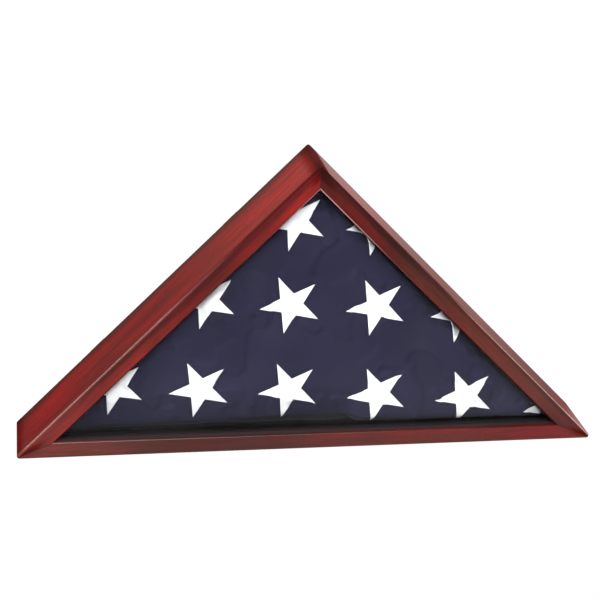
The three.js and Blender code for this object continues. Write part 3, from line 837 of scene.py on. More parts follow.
def button(name, pivot, along, across):
    """Stamped plate: a hole with a shallow countersink, a pressed rib, a rolled edge."""
    R, reach, hole, t = 0.0044, 0.020, 0.00165, 0.0016
    yb = Y0 + 0.0903
    rim = stadium(14, 18, R, reach)
    n = len(rim)
    # outward normals of the outline
    cx = np.clip(rim[:, 0], 0, reach)
    nr = rim - np.stack([cx, np.zeros(n)], 1)
    nr /= np.linalg.norm(nr, axis=1)[:, None]
    ang = np.arctan2(rim[:, 1], rim[:, 0])
    circ = np.stack([np.cos(ang), np.sin(ang)], 1)

    def top(p):
        x, w = p[:, 0], p[:, 1]
        rib = smooth(0.0062, 0.0092, x) * (1 - smooth(reach + 0.0002, reach + 0.0024, x)) * (1 - smooth(0.0009, 0.0021, np.abs(w)))
        return t + 0.00055 * rib

    verts, faces = [], []

    def ring(p, h):
        h = np.broadcast_to(h, (n,))
        for (x, w), z in zip(p, h):
            q = pivot + along * x + across * w
            verts.append((q[0], yb + z, q[1]))

    rows = 0
    for p, h in ((circ * hole, np.full(n, 0.0002)), (circ * (hole + 0.00002), np.full(n, t - 0.0004))):
        ring(p, h)
        rows += 1
    inner = circ * (hole + 0.00035)
    edge = rim - nr * 0.00045
    for k in range(19):
        w = k / 18.0
        p = inner + (edge - inner) * w
        ring(p, top(p) - (0.0 if k else 0.00005))
        rows += 1
    for ins, h in ((0.00022, t - 0.00005), (0.00006, t - 0.00018), (0.0, t - 0.00042), (0.0, 0.0003), (0.00008, 0.0001), (0.0003, 0.0)):
        ring(rim - nr * ins, np.full(n, h))
        rows += 1
    ring(circ * (hole + 0.0002), np.full(n, 0.0))
    rows += 1
    for r in range(rows - 1):
        for i in range(n):
            j = (i + 1) % n
            faces.append((r * n + i, r * n + j, (r + 1) * n + j, (r + 1) * n + i))
    for i in range(n):
        j = (i + 1) % n
        faces.append(((rows - 1) * n + i, (rows - 1) * n + j, j, i))
    return mesh_object(name, verts, faces, m_brass, 45.0)


def screw_mesh():
    """Pan head with a cross recess, and a threaded shank, pointing along +Y from the wood."""
    prof = [(0.0, -0.0120), (0.00035, -0.0112), (0.0009, -0.0098), (0.00115, -0.0090)]
    # thread, as rings
    z = -0.0088
    while z < -0.0012:
        prof += [(0.00112, z), (0.0014, z + 0.00035), (0.00112, z + 0.0007)]
        z += 0.00105
    prof += [(0.0013, -0.0009), (0.0014, -0.0004), (0.0014, 0.0), (0.0026, 0.0), (0.0028, 0.0001), (0.0029, 0.0004), (0.00288, 0.0008)]
    for k in range(1, 8):
        a = math.radians(90 * k / 8)
        prof.append((0.00288 * math.cos(a) ** 0.75, 0.0008 + 0.0008 * math.sin(a)))
    prof.append((0.0, 0.0016))
    seg = 40
    verts, faces = [], []
    rows = []
    for r, z in prof:
        if r == 0.0:
            rows.append([len(verts)])
            verts.append((0, z, 0))
        else:
            rows.append(list(range(len(verts), len(verts) + seg)))
            verts += [(r * math.cos(2 * math.pi * k / seg), z, r * math.sin(2 * math.pi * k / seg)) for k in range(seg)]
    for a, b in zip(rows, rows[1:]):
        for k in range(seg):
            j = (k + 1) % seg
            f = []
            for v in (a[k % len(a)], a[j % len(a)], b[j % len(b)], b[k % len(b)]):
                if v not in f:
                    f.append(v)
            if len(f) > 2:
                faces.append(f)
    ob = mesh_object("screw_master", verts, faces, m_steel, 40.0)
    # cross recess
    cv, cf = [], []
    w0, w1, l0, l1, top, bot = 0.00042, 0.00022, 0.00165, 0.0009, 0.0021, 0.00055
    for (a, b, ww, ll, zz) in ((0, 0, w1, l1, bot), (0, 0, w0, l0, top)):
        pts = [(ww, ww), (ww, ll), (-ww, ll), (-ww, ww), (-ll, ww), (-ll, -ww), (-ww, -ww), (-ww, -ll), (ww, -ll), (ww, -ww), (ll, -ww), (ll, ww)]
        cv += [(x, zz, z) for x, z in pts]
    for i in range(12):
        j = (i + 1) % 12
        cf.append((i, j, 12 + j, 12 + i))
    cf.append(tuple(range(12)))
    cf.append(tuple(range(12, 24))[::-1])
    cut = mesh_object("screw_cutter", cv, cf, m_steel, None)
    mod = ob.modifiers.new("cut", "BOOLEAN")
    mod.object = cut
    mod.operation = "DIFFERENCE"
    mod.solver = "EXACT"
    dg = bpy.context.evaluated_depsgraph_get()
    me = bpy.data.meshes.new_from_object(ob.evaluated_get(dg))
    me.polygons.foreach_set("use_smooth", [True] * len(me.polygons))
    me.set_sharp_from_angle(angle=math.radians(38))
    bpy.data.objects.remove(ob)
    bpy.data.objects.remove(cut)
    return me


screw_me = screw_mesh()
for i, (key, (side, at, way)) in enumerate(BUTTONS.items()):
    d, n, p0 = DIRS[side]
    pivot = p0 + d * at + n * 0.005
    ob = button(f"catch_{key}", pivot, d * way, n)
    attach(ob, f"turn_button_{key}")
    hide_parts(f"turn_button_{key}")
    me = screw_me.copy()
    turn = Matrix.Rotation(math.radians([12, 57, -20, 33, 71, -8][i]), 4, "Y")
    me.transform(Matrix.Translation((pivot[0], Y0 + 0.0922, pivot[1])) @ turn)
    so = bpy.data.objects.new(f"catch_screw_{key}", me)
    COL.objects.link(so)
    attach(so, "case")
    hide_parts(f"button_screw_{key}")

# ------------------------------------------------------------------ the folded flag
HB, Z0 = 0.2790, 0.0195          # its triangle: half the long side to the sharp corner, and its lowest line
FACE = Y0 + 0.0203               # its front face
REAR = Y0 + 0.0798               # its rear face
ROLL = 0.0068                    # radius of the outer ply where it rolls over the lower edge
THICK = 2 * ROLL                 # front to back of the outer ply with what it wraps
R_IN = HB * (math.sqrt(2) - 1)
# bottom, left leg, right leg: a point on each line and the direction into the flag
LINES = (((0.0, Z0), (0.0, 1.0)), ((-HB, Z0), (ROOT, -ROOT)), ((HB, Z0), (-ROOT, -ROOT)))


def flag_triangle(d):
    c = np.array([0.0, Z0 + R_IN])
    P = np.array([[-HB, Z0], [HB, Z0], [0.0, Z0 + HB]])
    return c + (P - c) * (1 - d / R_IN)


def runs(rad, step):
    P = flag_triangle(0)
    counts = []
    for i in range(3):
        a, b = P[i], P[(i + 1) % 3]
        counts.append(max(1, int(round(np.linalg.norm(b - a) / step)) - 6))
    return counts


def flag_outline(d, rad, counts, n=7):
    """The flag's outline moved in by d, with corners of radius rad and a fixed number of points."""
    P = flag_triangle(d)
    rad = max(rad - d, 0.0012)
    segs = []
    for i in range(3):
        p = P[i]
        a = P[(i - 1) % 3] - p
        b = P[(i + 1) % 3] - p
        a = a / np.linalg.norm(a)
        b = b / np.linalg.norm(b)
        half = math.acos(float(a @ b)) / 2
        bis = (a + b) / np.linalg.norm(a + b)
        c = p + bis * rad / math.sin(half)
        f = p + a * rad / math.tan(half) - c
        t = p + b * rad / math.tan(half) - c
        ang = math.atan2(f[0] * t[1] - f[1] * t[0], float(f @ t))
        segs.append([c + np.array([math.cos(ang * k / n) * f[0] - math.sin(ang * k / n) * f[1],
                                   math.sin(ang * k / n) * f[0] + math.cos(ang * k / n) * f[1]]) for k in range(n + 1)])
    pts = []
    for i in range(3):
        pts += segs[i]
        s, e = segs[i][-1], segs[(i + 1) % 3][0]
        m = counts[i]
        pts += [s + (e - s) * k / m for k in range(1, m)]
    return np.array(pts)


def roll_along(P, bottom, leg, corner, apex):
    """Radius of the ply's roll at each point of the outline: widest along the lower edge,
    tighter up the legs, pinched at the pointed corners."""
    res = []
    for x, z in P:
        low = 1 - float(smooth(0.012, 0.030, z - Z0))
        side = leg + (0.0066 - leg) * (1 - float(smooth(-0.05, 0.0, x)))
        mid = bottom * low + side * (1 - low)
        near = float(smooth(HB - 0.060, HB - 0.022, abs(x)))
        top = float(smooth(HB - 0.050, HB - 0.018, z - Z0))
        v = mid + (corner - mid) * near
        res.append(v + (apex - v) * top)
    return np.array(res)


def ply(step, coarse, bottom=ROLL, leg=0.0042, corner=0.0028, apex=0.0034):
    """The outer ply of one side, closed round a thin bundle: a flat face at y = 0 that
    rolls over its three edges to y = THICK. Gives vertices, faces and flat coordinates."""
    counts = runs(0.008, step)
    outer0 = flag_outline(0.0, 0.0042, counts)
    way = flag_outline(0.002, 0.0042, counts) - flag_outline(0.0, 0.0042, counts)
    way = way / 0.002                                        # how a point moves for each metre of inset
    unit = way / np.maximum(np.linalg.norm(way, axis=1), 1e-9)[:, None]
    r = np.minimum(roll_along(outer0, bottom, leg, corner, apex), 0.5 * THICK)
    ring_pts, flats, depth = [], [], []
    tangent = outer0 + way * r[:, None]
    Q = 5
    for k in range(Q + 1):
        psi = math.pi / 2 * k / Q
        ring_pts.append(outer0 + way * (r * (1 - math.sin(psi)))[:, None])
        flats.append(tangent - unit * (r * psi)[:, None])
        depth.append(r * (1 - math.cos(psi)))
    for k in range(Q + 1):
        psi = math.pi / 2 * k / Q
        ring_pts.append(outer0 + way * (r * (1 - math.cos(psi)))[:, None])
        flats.append(tangent - unit * (r * math.pi / 2 + (THICK - 2 * r) + r * psi)[:, None])
        depth.append(THICK - r * (1 - math.sin(psi)))
    n = len(tangent)
    verts, flat, faces = [], [], []
    for P, F, h in zip(ring_pts, flats, depth):
        verts += [(q[0], hh, q[1]) for q, hh in zip(P, h)]
        flat += [(f[0], f[1], 0.0) for f in F]
    rings = len(ring_pts)
    for k in range(rings - 1):
        for i in range(n):
            j = (i + 1) % n
            faces.append((k * n + i, k * n + j, (k + 1) * n + j, (k + 1) * n + i))

    def fill(P, start, y, gap):
        h = gap * math.sqrt(3) / 2
        pts = [Vector(p) for p in P]
        z, row = Z0, 0
        bounds = [P[i] for i in range(n)]
        while z < Z0 + HB:
            z += h
            row += 1
            x = -0.3 + (gap / 2 if row % 2 else 0.0)
            cand = []
            while x < 0.3:
                x += gap
                if min((x - a[0]) * b[0] + (z - a[1]) * b[1] for a, b in LINES) > corner + gap * 0.6:
                    cand.append((x, z))
            if cand:
                C = np.array(cand)
                rr = roll_along(C, bottom, leg, corner, apex)
                dist = np.min([(C[:, 0] - a[0]) * b[0] + (C[:, 1] - a[1]) * b[1] for a, b in LINES], axis=0)
                pts += [Vector(c) for c, d_, r_ in zip(C, dist, rr) if d_ > r_ + gap * 0.65]
        co, _, fa, ov, _, _ = geometry.delaunay_2d_cdt(pts, [(i, (i + 1) % n) for i in range(n)], [], 1, 1e-7)
        idx = []
        for i, c in enumerate(co):
            known = [q for q in ov[i] if q < n]
            if known:
                idx.append(start + known[0])
            else:
                idx.append(len(verts))
                verts.append((c[0], y, c[1]))
                flat.append((c[0], c[1], 0.0))
        for f in fa:
            faces.append(tuple(idx[i] for i in f))

    fill(ring_pts[0], 0, 0.0, step)
    fill(ring_pts[-1], (rings - 1) * n, THICK, coarse)
    return np.array(verts), faces, np.array(flat)


def front_shape(V):
    """How the front ply of this flag lies: its lower edge sits back and a little high to the
    left of a soft step near the middle, and hard up to the glass to the right of it."""
    V = V.copy()
    x, h, z = V[:, 0], V[:, 1], V[:, 2]
    low = z - Z0
    left_part = 1 - smooth(0.038, 0.060, x)
    fall = 1 - smooth(0.0, 0.050, low)
    back = 0.0086 * left_part * fall
    lift = 0.0044 * left_part * smooth(-0.22, 0.02, x) * (1 - smooth(0.0, 0.045, low))
    fold = 0.0016 * np.exp(-((x - 0.049) / 0.007) ** 2) * (1 - smooth(0.0, 0.07, low))
    curl = 0.0022 * (1 - smooth(0.0, 0.014, low))
    V[:, 1] = h + back + fold + curl - 0.0010 * (1 - left_part) * fall
    V[:, 2] = z + lift
    # the left leg's edge is drawn in from the board
    a, b = LINES[1]
    gone = 0.0022 * (1 - smooth(0.0, 0.030, (x - a[0]) * b[0] + (z - a[1]) * b[1])) * (1 - smooth(HB - 0.05, HB - 0.01, low))
    gone = gone * smooth(-HB, -HB + 0.05, x)
    V[:, 0] += gone * b[0]
    V[:, 2] += gone * b[1]
    return V


def soft_waves(V, seed, amount):
    """Broad unevenness of the bundle underneath, strongest away from the edges."""
    out_ = V.copy()
    for i, (x, h, z) in enumerate(V):
        if h > 0.006:
            continue
        a = noise.noise(Vector((x * 9 + seed, z * 9, seed))) * 1.0
        r = x * 0.62 + z * 0.78
        q = -x * 0.78 + z * 0.62
        b = noise.noise(Vector((r * 6, q * 30 + seed, 2.0 + seed)))
        c = noise.noise(Vector((x * 75, z * 5 + seed, 5.0 + seed)))
        out_[i, 1] += amount * (0.9 * a + 0.55 * b + 0.16 * c)
    return out_


def settle(V, faces, name, shrink, goal, bend, frames, cap):
    """Blender's cloth on the outer ply: the rolled edge is pinned to the bundle, the face is
    held loosely to it, and a little spare cloth buckles into wrinkles."""
    me = bpy.data.meshes.new(name)
    me.from_pydata([tuple(v) for v in V], [], [tuple(f) for f in faces])
    me.update()
    bm = bmesh.new()
    bm.from_mesh(me)
    bmesh.ops.recalc_face_normals(bm, faces=bm.faces)
    bm.to_mesh(me)
    bm.free()
    ob = bpy.data.objects.new(name, me)
    COL.objects.link(ob)
    h = V[:, 1] - V[:, 1].min()
    x, z = V[:, 0], V[:, 2]
    rim = np.min([(x - a[0]) * b[0] + (z - a[1]) * b[1] for a, b in LINES], axis=0)
    w = np.where(V[:, 3] > 0.55, 1.0, goal + (1 - goal) * smooth(0.0, 0.55, V[:, 3]))
    g = ob.vertex_groups.new(name="hold")
    for i, wi in enumerate(w):
        g.add([i], float(wi), "REPLACE")
    mod = ob.modifiers.new("cloth", "CLOTH")
    s = mod.settings
    s.quality = 6
    s.mass = 0.15
    s.tension_stiffness = s.compression_stiffness = 15
    s.shear_stiffness = 5
    s.bending_stiffness = bend
    s.tension_damping = s.compression_damping = s.shear_damping = 5
    s.bending_damping = 0.5
    s.air_damping = 2
    s.vertex_group_mass = "hold"
    s.pin_stiffness = 1.0
    s.shrink_min = s.shrink_max = shrink
    s.effector_weights.gravity = 0
    mod.collision_settings.use_collision = False
    sc = bpy.context.scene
    was = (sc.frame_start, sc.frame_end, sc.frame_current)
    sc.frame_start, sc.frame_end = 1, frames + 1
    mod.point_cache.frame_start, mod.point_cache.frame_end = 1, frames + 1
    for f in range(1, frames + 1):
        sc.frame_set(f)
    ev = ob.evaluated_get(bpy.context.evaluated_depsgraph_get())
    mm = ev.to_mesh()
    got = np.empty(len(mm.vertices) * 3)
    mm.vertices.foreach_get("co", got)
    ev.to_mesh_clear()
    got = got.reshape(-1, 3)
    sc.frame_start, sc.frame_end = was[0], was[1]
    sc.frame_set(was[2])
    bpy.data.objects.remove(ob)
    # keep the relief, smoothed to what a few layers of cotton can show, and none of the drift
    rise = (got - V[:, :3])[:, 1]
    rise = relax(np.repeat(rise[:, None], 3, axis=1), faces, 7, 0.6, keep=w > 0.99)[:, 0]
    P = V[:, :3].copy()
    P[:, 1] += cap * np.tanh(rise / cap)
    return P


def relax(P, faces, times, amount=0.5, keep=None):
    nb = [set() for _ in range(len(P))]
    for f in faces:
        for a, b in zip(f, list(f[1:]) + [f[0]]):
            nb[a].add(b)
            nb[b].add(a)
    idx = np.array([(i, j) for i, s in enumerate(nb) for j in s])
    cnt = np.bincount(idx[:, 0], minlength=len(P)).astype(float)
    for _ in range(times):
        acc = np.zeros_like(P)
        np.add.at(acc, idx[:, 0], P[idx[:, 1]])
        new = P + (acc / cnt[:, None] - P) * amount
        if keep is not None:
            new[keep] = P[keep]
        P = new
    return P


def star_points(R, turn):
    r = R * math.sin(math.radians(18)) / math.sin(math.radians(54))
    pts = []
    for k in range(10):
        a = math.radians(90 + turn + 36 * k)
        q = R if k % 2 == 0 else r
        pts.append((q * math.cos(a), q * math.sin(a)))
    return np.array(pts)


def offset_polygon(P, d):
    n = len(P)
    res = []
    for i in range(n):
        a, b, c = P[i - 1], P[i], P[(i + 1) % n]
        e0, e1 = (b - a) / np.linalg.norm(b - a), (c - b) / np.linalg.norm(c - b)
        n0, n1 = np.array([-e0[1], e0[0]]), np.array([-e1[1], e1[0]])
        m = n0 + n1
        m = m / max(np.linalg.norm(m), 1e-9)
        k = d / max(float(m @ n0), 0.28)
        res.append(b + m * k)
    return np.array(res)


def star_mesh(centre, R, turn, step=0.0026):
    """One applique star in flat coordinates: (x, z, height above the cloth), faces, and along-the-rim."""
    P = star_points(R, turn)
    rings = [(0.0, -0.00030), (0.00012, 0.00030), (0.0005, 0.00058), (0.0011, 0.00060), (0.0016, 0.00046), (0.0020, 0.00040)]
    per = max(3, int(round(np.linalg.norm(P[1] - P[0]) / step)))
    verts, faces, rim, count = [], [], [], 0
    for d, h in rings:
        Q = offset_polygon(P, d)
        run = 0.0
        for i in range(10):
            a, b = Q[i], Q[(i + 1) % 10]
            for k in range(per):
                p = a + (b - a) * k / per
                verts.append((centre[0] + p[0], centre[1] + p[1], h))
                rim.append((1.0 if d < 0.0014 else 0.0, (i + k / per) * np.linalg.norm(P[1] - P[0])))
    n = 10 * per
    for r in range(len(rings) - 1):
        for i in range(n):
            j = (i + 1) % n
            faces.append((r * n + i, r * n + j, (r + 1) * n + j, (r + 1) * n + i))
    start = (len(rings) - 1) * n
    inner = np.array([v[:2] for v in verts[start:]])
    poly = offset_polygon(P, rings[-1][0] + step * 0.7) + np.array(centre)
    pts = [Vector(p) for p in inner]

    def inside(p):
        c = False
        for i in range(10):
            a, b = poly[i], poly[(i + 1) % 10]
            if (a[1] > p[1]) != (b[1] > p[1]) and p[0] < (b[0] - a[0]) * (p[1] - a[1]) / (b[1] - a[1]) + a[0]:
                c = not c
        return c

    row = 0
    z = centre[1] - R
    while z < centre[1] + R:
        z += step * math.sqrt(3) / 2
        row += 1
        x = centre[0] - R + (step / 2 if row % 2 else 0)
        while x < centre[0] + R:
            x += step
            if inside((x, z)):
                pts.append(Vector((x, z)))
    co, _, fa, ov, _, _ = geometry.delaunay_2d_cdt(pts, [(i, (i + 1) % n) for i in range(n)], [], 1, 1e-7)
    idx = []
    for i, c in enumerate(co):
        known = [q for q in ov[i] if q < n]
        if known:
            idx.append(start + known[0])
        else:
            idx.append(len(verts))
            verts.append((c[0], c[1], rings[-1][1]))
            rim.append((0.0, 0.0))
    for f in fa:
        faces.append(tuple(idx[i] for i in f))
    return np.array(verts), faces, np.array(rim)


def unroll_to_space(q, bottom=ROLL, leg=0.0042, corner=0.0028, apex=0.0034):
    """Where a point of the flat cloth lies on the ply before it settles: (x, h, z), or None
    where it has gone round the edge into the bundle."""
    at = []
    for a, b in LINES:
        d = (q[0] - a[0]) * b[0] + (q[1] - a[1]) * b[1]
        foot = (q[0] - b[0] * d, q[1] - b[1] * d)                 # nearest point of the edge line
        r = float(roll_along([foot], bottom, leg, corner, apex)[0])
        at.append((d - r, r, b))
    dist = [v[0] for v in at]
    k = int(np.argmin(dist))
    if dist[k] >= 0:
        return (q[0], 0.0, q[1])
    over, r, b = -dist[k], at[k][1], at[k][2]
    if over > r * math.pi / 2 + (THICK - 2 * r) * 0.8 or sorted(dist)[1] < -0.003:
        return None
    if over <= r * math.pi / 2:
        psi = over / r
        back, h = over - r * math.sin(psi), r * (1 - math.cos(psi))
    else:
        back, h = over - r, r + (over - r * math.pi / 2)
    return (q[0] + b[0] * back, h, q[1] + b[1] * back)


def sag(x, z):
    """How far the sagging lower part of the front ply is carried up and back at x, z."""
    low = z - Z0
    left_part = 1 - smooth(0.038, 0.060, x)
    lift = 0.0044 * left_part * smooth(-0.22, 0.02, x) * (1 - smooth(0.0, 0.045, low))
    return lift + 0.36 * 0.0086 * left_part * (1 - smooth(0.0, 0.050, low))


def make_stars(name, places, R, turn, before, after, faces, slack=False):
    """Lay each star on the ply as modelled, then carry it with the ply to where it settled.
    With slack the ply's spare length hangs at the lower edge and the stars keep their shape."""
    tree = BVHTree.FromPolygons([Vector(v) for v in before], [tuple(f) for f in faces])
    verts, allf, flat, rims = [], [], [], []
    for c in places:
        V, F, rim = star_mesh(c, R, turn)
        ok = {}
        for i, (x, z, h) in enumerate(V):
            zz = z
            if slack:
                for _ in range(12):
                    zz = z - float(sag(x, zz))
            sp = unroll_to_space((x, zz))
            if sp is None:
                continue
            hit = tree.find_nearest(Vector(sp))
            if hit[0] is None:
                continue
            f = faces[hit[2]]
            # place in the face: split a quad in two triangles
            tris = [(f[0], f[1], f[2])] if len(f) == 3 else [(f[0], f[1], f[2]), (f[0], f[2], f[3])]
            best = None
            for t in tris:
                A, B, C = (Vector(before[j]) for j in t)
                w = geometry.barycentric_transform(hit[0], A, B, C, Vector((1, 0, 0)), Vector((0, 1, 0)), Vector((0, 0, 1)))
                low = min(w)
                if best is None or low > best[0]:
                    best = (low, t, w)
            _, t, w = best
            A, B, C = (Vector(after[j]) for j in t)
            p = A * w[0] + B * w[1] + C * w[2]
            nn = normals_after[t[0]] * w[0] + normals_after[t[1]] * w[1] + normals_after[t[2]] * w[2]
            nn = nn / max(np.linalg.norm(nn), 1e-9)
            ok[i] = len(verts)
            verts.append(tuple(np.array(p) + nn * h))
            flat.append((x, z, rim[i][1]))
            rims.append(rim[i][0])
        for f in F:
            if all(i in ok for i in f):
                allf.append(tuple(ok[i] for i in f))
    return verts, allf, flat, rims


def vertex_normals(P, faces):
    acc = np.zeros_like(P)
    for f in faces:
        a, b, c = P[f[0]], P[f[1]], P[f[2]]
        nn = np.cross(b - a, c - a)
        for i in f:
            acc[i] += nn
    ln = np.maximum(np.linalg.norm(acc, axis=1), 1e-12)
    return acc / ln[:, None]


def under_stars(P, normals, flat, places, R, turn):
    """The stitching draws the cotton in a little behind each star."""
    P = P.copy()
    for c in places:
        poly = star_points(R, turn) + np.array(c)
        x, z = flat[:, 0], flat[:, 1]
        inside = np.zeros(len(P), dtype=bool)
        for i in range(10):
            a, b = poly[i], poly[(i + 1) % 10]
            cross = ((a[1] > z) != (b[1] > z)) & (x < (b[0] - a[0]) * (z - a[1]) / (b[1] - a[1]) + a[0])
            inside ^= cross
        P[inside] -= normals[inside] * 0.0009
    return P


def oriented(V, faces):
    """Faces wound so that they look outward."""
    me = bpy.data.meshes.new("t")
    me.from_pydata([tuple(v) for v in V], [], [tuple(f) for f in faces])
    me.update()
    bm = bmesh.new()
    bm.from_mesh(me)
    bmesh.ops.recalc_face_normals(bm, faces=bm.faces)
    bm.verts.index_update()
    res = [tuple(v.index for v in f.verts) for f in bm.faces]
    bm.free()
    bpy.data.meshes.remove(me)
    return res


V0, F0, flat0 = ply(0.0036, 0.009)
F0 = oriented(V0, F0)
h0 = V0[:, 1] / THICK
V1 = soft_waves(front_shape(V0), 1.3, 0.0008)
V1[:, 1] += FACE
P1 = settle(np.column_stack([V1, h0]), F0, "settle_front", -0.016, 0.030, 1.2, 24, 0.0012)
P1[:, 1] = np.maximum(P1[:, 1], Y0 + 0.0183)
P1[:, 2] = np.maximum(P1[:, 2], 0.01915)
normals_after = vertex_normals(P1, F0)

STARS = [(-218.7, 74.2), (-123.4, 68.4), (-23.1, 63.4), (78.9, 55.2), (180.7, 48.6), (284.9, 31.2),
         (-118.3, 174.0), (-24.4, 165.8), (72.2, 160.9), (169.2, 150.6), (-22.1, 262.1), (68.5, 255.4)]
STARS = [(x * MM, z * MM) for x, z in STARS]
sv, sf, sflat, srim = make_stars("stars", STARS, 0.0353, 24.7, V0, P1, F0, True)
flat1 = flat0.copy()
flat1[:, 1] += sag(flat0[:, 0], flat0[:, 1])
P1 = under_stars(P1, normals_after, flat1, STARS, 0.0353, 24.7)
cloth = mesh_object("flag_front_ply", P1, F0, m_navy, None, {"cloth_at": ("FLOAT_VECTOR", flat0)}, recalc=False)
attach(cloth, "case")
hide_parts("folded_flag")
stars = mesh_object("flag_front_stars", sv, sf, m_thread, 60.0,
                    {"cloth_at": ("FLOAT_VECTOR", sflat), "rim": ("FLOAT", srim)}, recalc=False)
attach(stars, "case")


def fold_stack():
    """The folds behind the outer ply: flattened rolls of cloth, each a little different in
    outline and thickness, seen as layers along the three edges."""
    rng = np.random.RandomState(11)
    y = FACE + THICK - 0.0012
    last = REAR - THICK + 0.0012
    n_layers = 9
    th = (last - y) / n_layers
    counts = runs(0.009, 0.008)
    verts, faces, flat = [], [], []
    for k in range(n_layers):
        a0, a1 = y + th * k - 0.0004, y + th * (k + 1) + 0.0004
        t = (a1 - a0) / 2
        inset = -0.0008 + 0.0030 * rng.rand()
        rings = 7
        seed = rng.rand() * 50
        base_i = len(verts)
        outs = []
        for r in range(rings):
            psi = math.pi * r / (rings - 1)
            P = flag_outline(inset + t * (1 - math.sin(psi)), 0.007, counts)
            n = len(P)
            for i, q in enumerate(P):
                wob = noise.noise(Vector((q[0] * 22 + seed, q[1] * 22, k * 3.3))) * 0.0011
                low = np.array([0.0, Z0 + R_IN]) - q
                low = low / np.linalg.norm(low)
                q2 = q + low * (wob + 0.0006)
                verts.append((q2[0], a0 + t * (1 - math.cos(psi)) + noise.noise(Vector((q[0] * 18, q[1] * 18, seed))) * 0.0004, max(q2[1], 0.0192)))
                flat.append((q[0], q[1] + a0 + psi * t, 0.0))
        for r in range(rings - 1):
            for i in range(n):
                j = (i + 1) % n
                faces.append((base_i + r * n + i, base_i + r * n + j, base_i + (r + 1) * n + j, base_i + (r + 1) * n + i))
        faces.append(tuple(range(base_i, base_i + n)))
        faces.append(tuple(range(base_i + (rings - 1) * n, base_i + rings * n))[::-1])
    ob = mesh_object("flag_folds", verts, faces, m_navy, None, {"cloth_at": ("FLOAT_VECTOR", flat)})
    bm = bmesh.new()
    bm.from_mesh(ob.data)
    bmesh.ops.triangulate(bm, faces=[f for f in bm.faces if len(f.verts) > 4])
    bm.to_mesh(ob.data)
    bm.free()
    return ob


folds = fold_stack()
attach(folds, "case")

# rear ply, with the tucked end
Vr, Fr, flatr = ply(0.0055, 0.012)
Fr = oriented(Vr, Fr)
Wr = soft_waves(Vr, 6.1, 0.0009)


def tuck(V):
    """The last fold is tucked into a pocket: its edge crosses the back as a low step."""
    V = V.copy()
    x, h, z = V[:, 0], V[:, 1], V[:, 2]
    edge = (x + 0.055) * 0.94 + (z - Z0) * 0.34 - 0.006 * np.sin(z * 30)
    step = smooth(-0.0035, 0.0035, edge) * (1 - smooth(0.004, 0.009, h))
    V[:, 1] = h - 0.0016 * step + 0.0006 * np.exp(-((edge + 0.006) / 0.005) ** 2) * (h < 0.004)
    return V


Wr = tuck(Wr)
rear_before = Vr.copy()
rear_after = np.column_stack([Wr[:, 0], REAR - 0.0010 - Wr[:, 1], Wr[:, 2]])
rear_after[:, 1] = np.minimum(rear_after[:, 1], Y0 + 0.0805)
rear_after[:, 2] = np.maximum(rear_after[:, 2], 0.01915)
Fr_m = [tuple(f[::-1]) for f in Fr]
normals_after = vertex_normals(rear_after, Fr_m)
back_places = [(x * MM, z * MM) for x, z in ((-196, 52), (-96, 60), (4, 68), (104, 76), (204, 84), (-56, 158), (48, 168), (-2, 262))]
bv, bf, bflat, brim = make_stars("stars", back_places, 0.0353, -12.0, rear_before, rear_after, Fr)
bf = [tuple(f[::-1]) for f in bf]
rear_after = under_stars(rear_after, normals_after, flatr, back_places, 0.0353, -12.0)
rear = mesh_object("flag_rear_ply", rear_after, Fr_m, m_navy, None, {"cloth_at": ("FLOAT_VECTOR", flatr)}, recalc=False)
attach(rear, "case")
rear_stars = mesh_object("flag_rear_stars", bv, bf, m_thread, 60.0,
                         {"cloth_at": ("FLOAT_VECTOR", bflat), "rim": ("FLOAT", brim)}, recalc=False)
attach(rear_stars, "case")

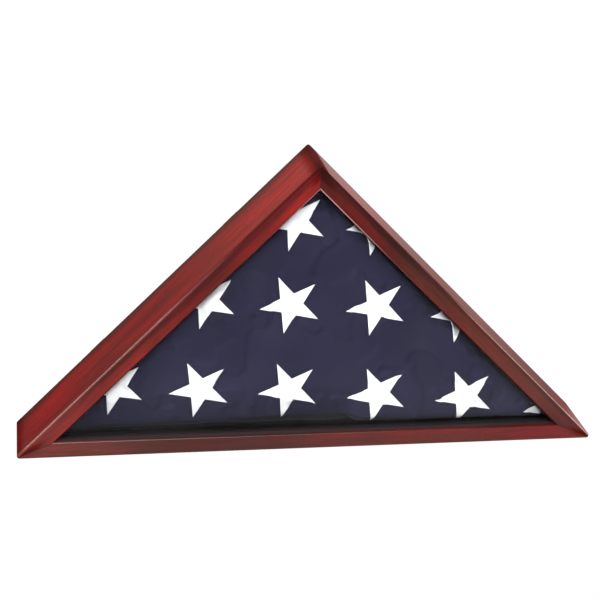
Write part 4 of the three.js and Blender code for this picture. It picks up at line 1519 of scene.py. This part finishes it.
# ------------------------------------------------------------------ floor, light, camera
def studio():
    bpy.ops.mesh.primitive_plane_add(size=14, location=(0, 0, -0.0002))
    floor = bpy.context.object
    floor.name = "studio_floor"
    m, nt, o = material("studio_floor")
    lp = node(nt, "ShaderNodeLightPath")
    dif = node(nt, "ShaderNodeBsdfDiffuse", Color=(0.45, 0.45, 0.45))
    where = node(nt, "ShaderNodeNewGeometry").outputs["Position"]
    x, y, z = split(nt, where)
    # painted light: the floor glows, faintly to diffuse light and in graded patches to gloss, a painted pool of light
    # seen only in reflections; to the camera it is plain white
    gloss_glow = node(nt, "ShaderNodeEmission", Color=(1, 1, 1), Strength=math_(nt, "MAXIMUM", math_(nt, "MULTIPLY", between(nt, y, 0.02, 1.5, 0.14, 0.54, "LINEAR"), between(nt, x, -0.6, 0.1, 0.12, 1.0)),
                     math_(nt, "MULTIPLY", between(nt, y, -0.42, -0.04, 0.04, 0.62), between(nt, y, 0.1, 0.0))))
    low = node(nt, "ShaderNodeEmission", Color=(1, 1, 1), Strength=0.12)
    bounce = node(nt, "ShaderNodeAddShader", i0=dif.outputs[0], i1=low.outputs[0])
    paper = node(nt, "ShaderNodeEmission", Color=(1, 1, 1), Strength=1.02)
    soft = node(nt, "ShaderNodeMixShader", i0=lp.outputs["Is Camera Ray"], i1=bounce.outputs[0], i2=paper.outputs[0])
    a = node(nt, "ShaderNodeMixShader", i0=lp.outputs["Is Glossy Ray"], i1=soft.outputs[0], i2=gloss_glow.outputs[0])
    nt.links.new(a.outputs[0], o.inputs["Surface"])
    floor.data.materials.append(m)
    m.cycles.emission_sampling = "NONE"      # so that gloss and diffuse each see their own floor
    floor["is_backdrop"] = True

    w = bpy.data.worlds.new("studio")
    w.use_nodes = True
    nt = w.node_tree
    nt.nodes.clear()
    wo = nt.nodes.new("ShaderNodeOutputWorld")
    lp = node(nt, "ShaderNodeLightPath")
    seen = node(nt, "ShaderNodeBackground", Color=(1, 1, 1), Strength=1.0)
    fill = node(nt, "ShaderNodeBackground", Color=(1, 1, 1), Strength=0.28)
    up = split(nt, node(nt, "ShaderNodeTexCoord").outputs["Generated"])[2]
    dark = node(nt, "ShaderNodeBackground", Color=(1, 1, 1), Strength=between(nt, up, 0.02, 0.22, 0.02, 0.20, "LINEAR"))
    a = node(nt, "ShaderNodeMixShader", i0=lp.outputs["Is Glossy Ray"], i1=fill.outputs[0], i2=dark.outputs[0])
    b = node(nt, "ShaderNodeMixShader", i0=lp.outputs["Is Camera Ray"], i1=a.outputs[0], i2=seen.outputs[0])
    nt.links.new(b.outputs[0], wo.inputs["Surface"])
    w.cycles.sampling_method = "NONE"
    bpy.context.scene.world = w


def area(name, toward, distance, size, watts, at=(0, 0, 0.14)):
    L = bpy.data.lights.new(name, "AREA")
    L.shape = "RECTANGLE"
    L.size, L.size_y = size
    L.energy = watts
    o = bpy.data.objects.new(name, L)
    v = Vector(toward).normalized()
    o.location = Vector(at) + v * distance
    o.rotation_euler = (-v).to_track_quat("-Z", "Y").to_euler()
    o.visible_camera = False
    COL.objects.link(o)
    return o


studio()
area("key", (-0.84, -0.42, 0.34), 2.2, (0.9, 0.9), 50)
area("front_fill", (0.02, -0.80, 0.72), 2.6, (1.2, 1.0), 78)
area("top_back", (0.17, 0.35, 0.62), 0.80, (0.5, 0.5), 26, at=(0, 0, 0.25))
area("right_strip", (0.90, -0.14, 0.42), 1.7, (0.5, 0.9), 22)

az, el, roll = math.radians(-9.632), math.radians(20.613), math.radians(2.061)
fwd = Vector((-math.sin(az) * math.cos(el), math.cos(az) * math.cos(el), -math.sin(el)))
r = fwd.cross(Vector((0, 0, 1))).normalized()
u = r.cross(fwd)
r2 = r * math.cos(roll) + u * math.sin(roll)
u2 = u * math.cos(roll) - r * math.sin(roll)
cam = bpy.data.cameras.new("camera")
cam.sensor_width = 36
cam.lens = 36 * 1706.9 / 600
cam.clip_start, cam.clip_end = 0.05, 60
co = bpy.data.objects.new("camera", cam)
M = Matrix((r2, u2, -fwd)).transposed().to_4x4()
M.translation = Vector((-0.3082, Y0 - 1.7100, 0.8314))
co.matrix_world = M
COL.objects.link(co)
bpy.context.scene.camera = co
bpy.context.scene.view_settings.view_transform = "Standard"

{"cad": CAD_BOX, "visual": plain(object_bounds())}
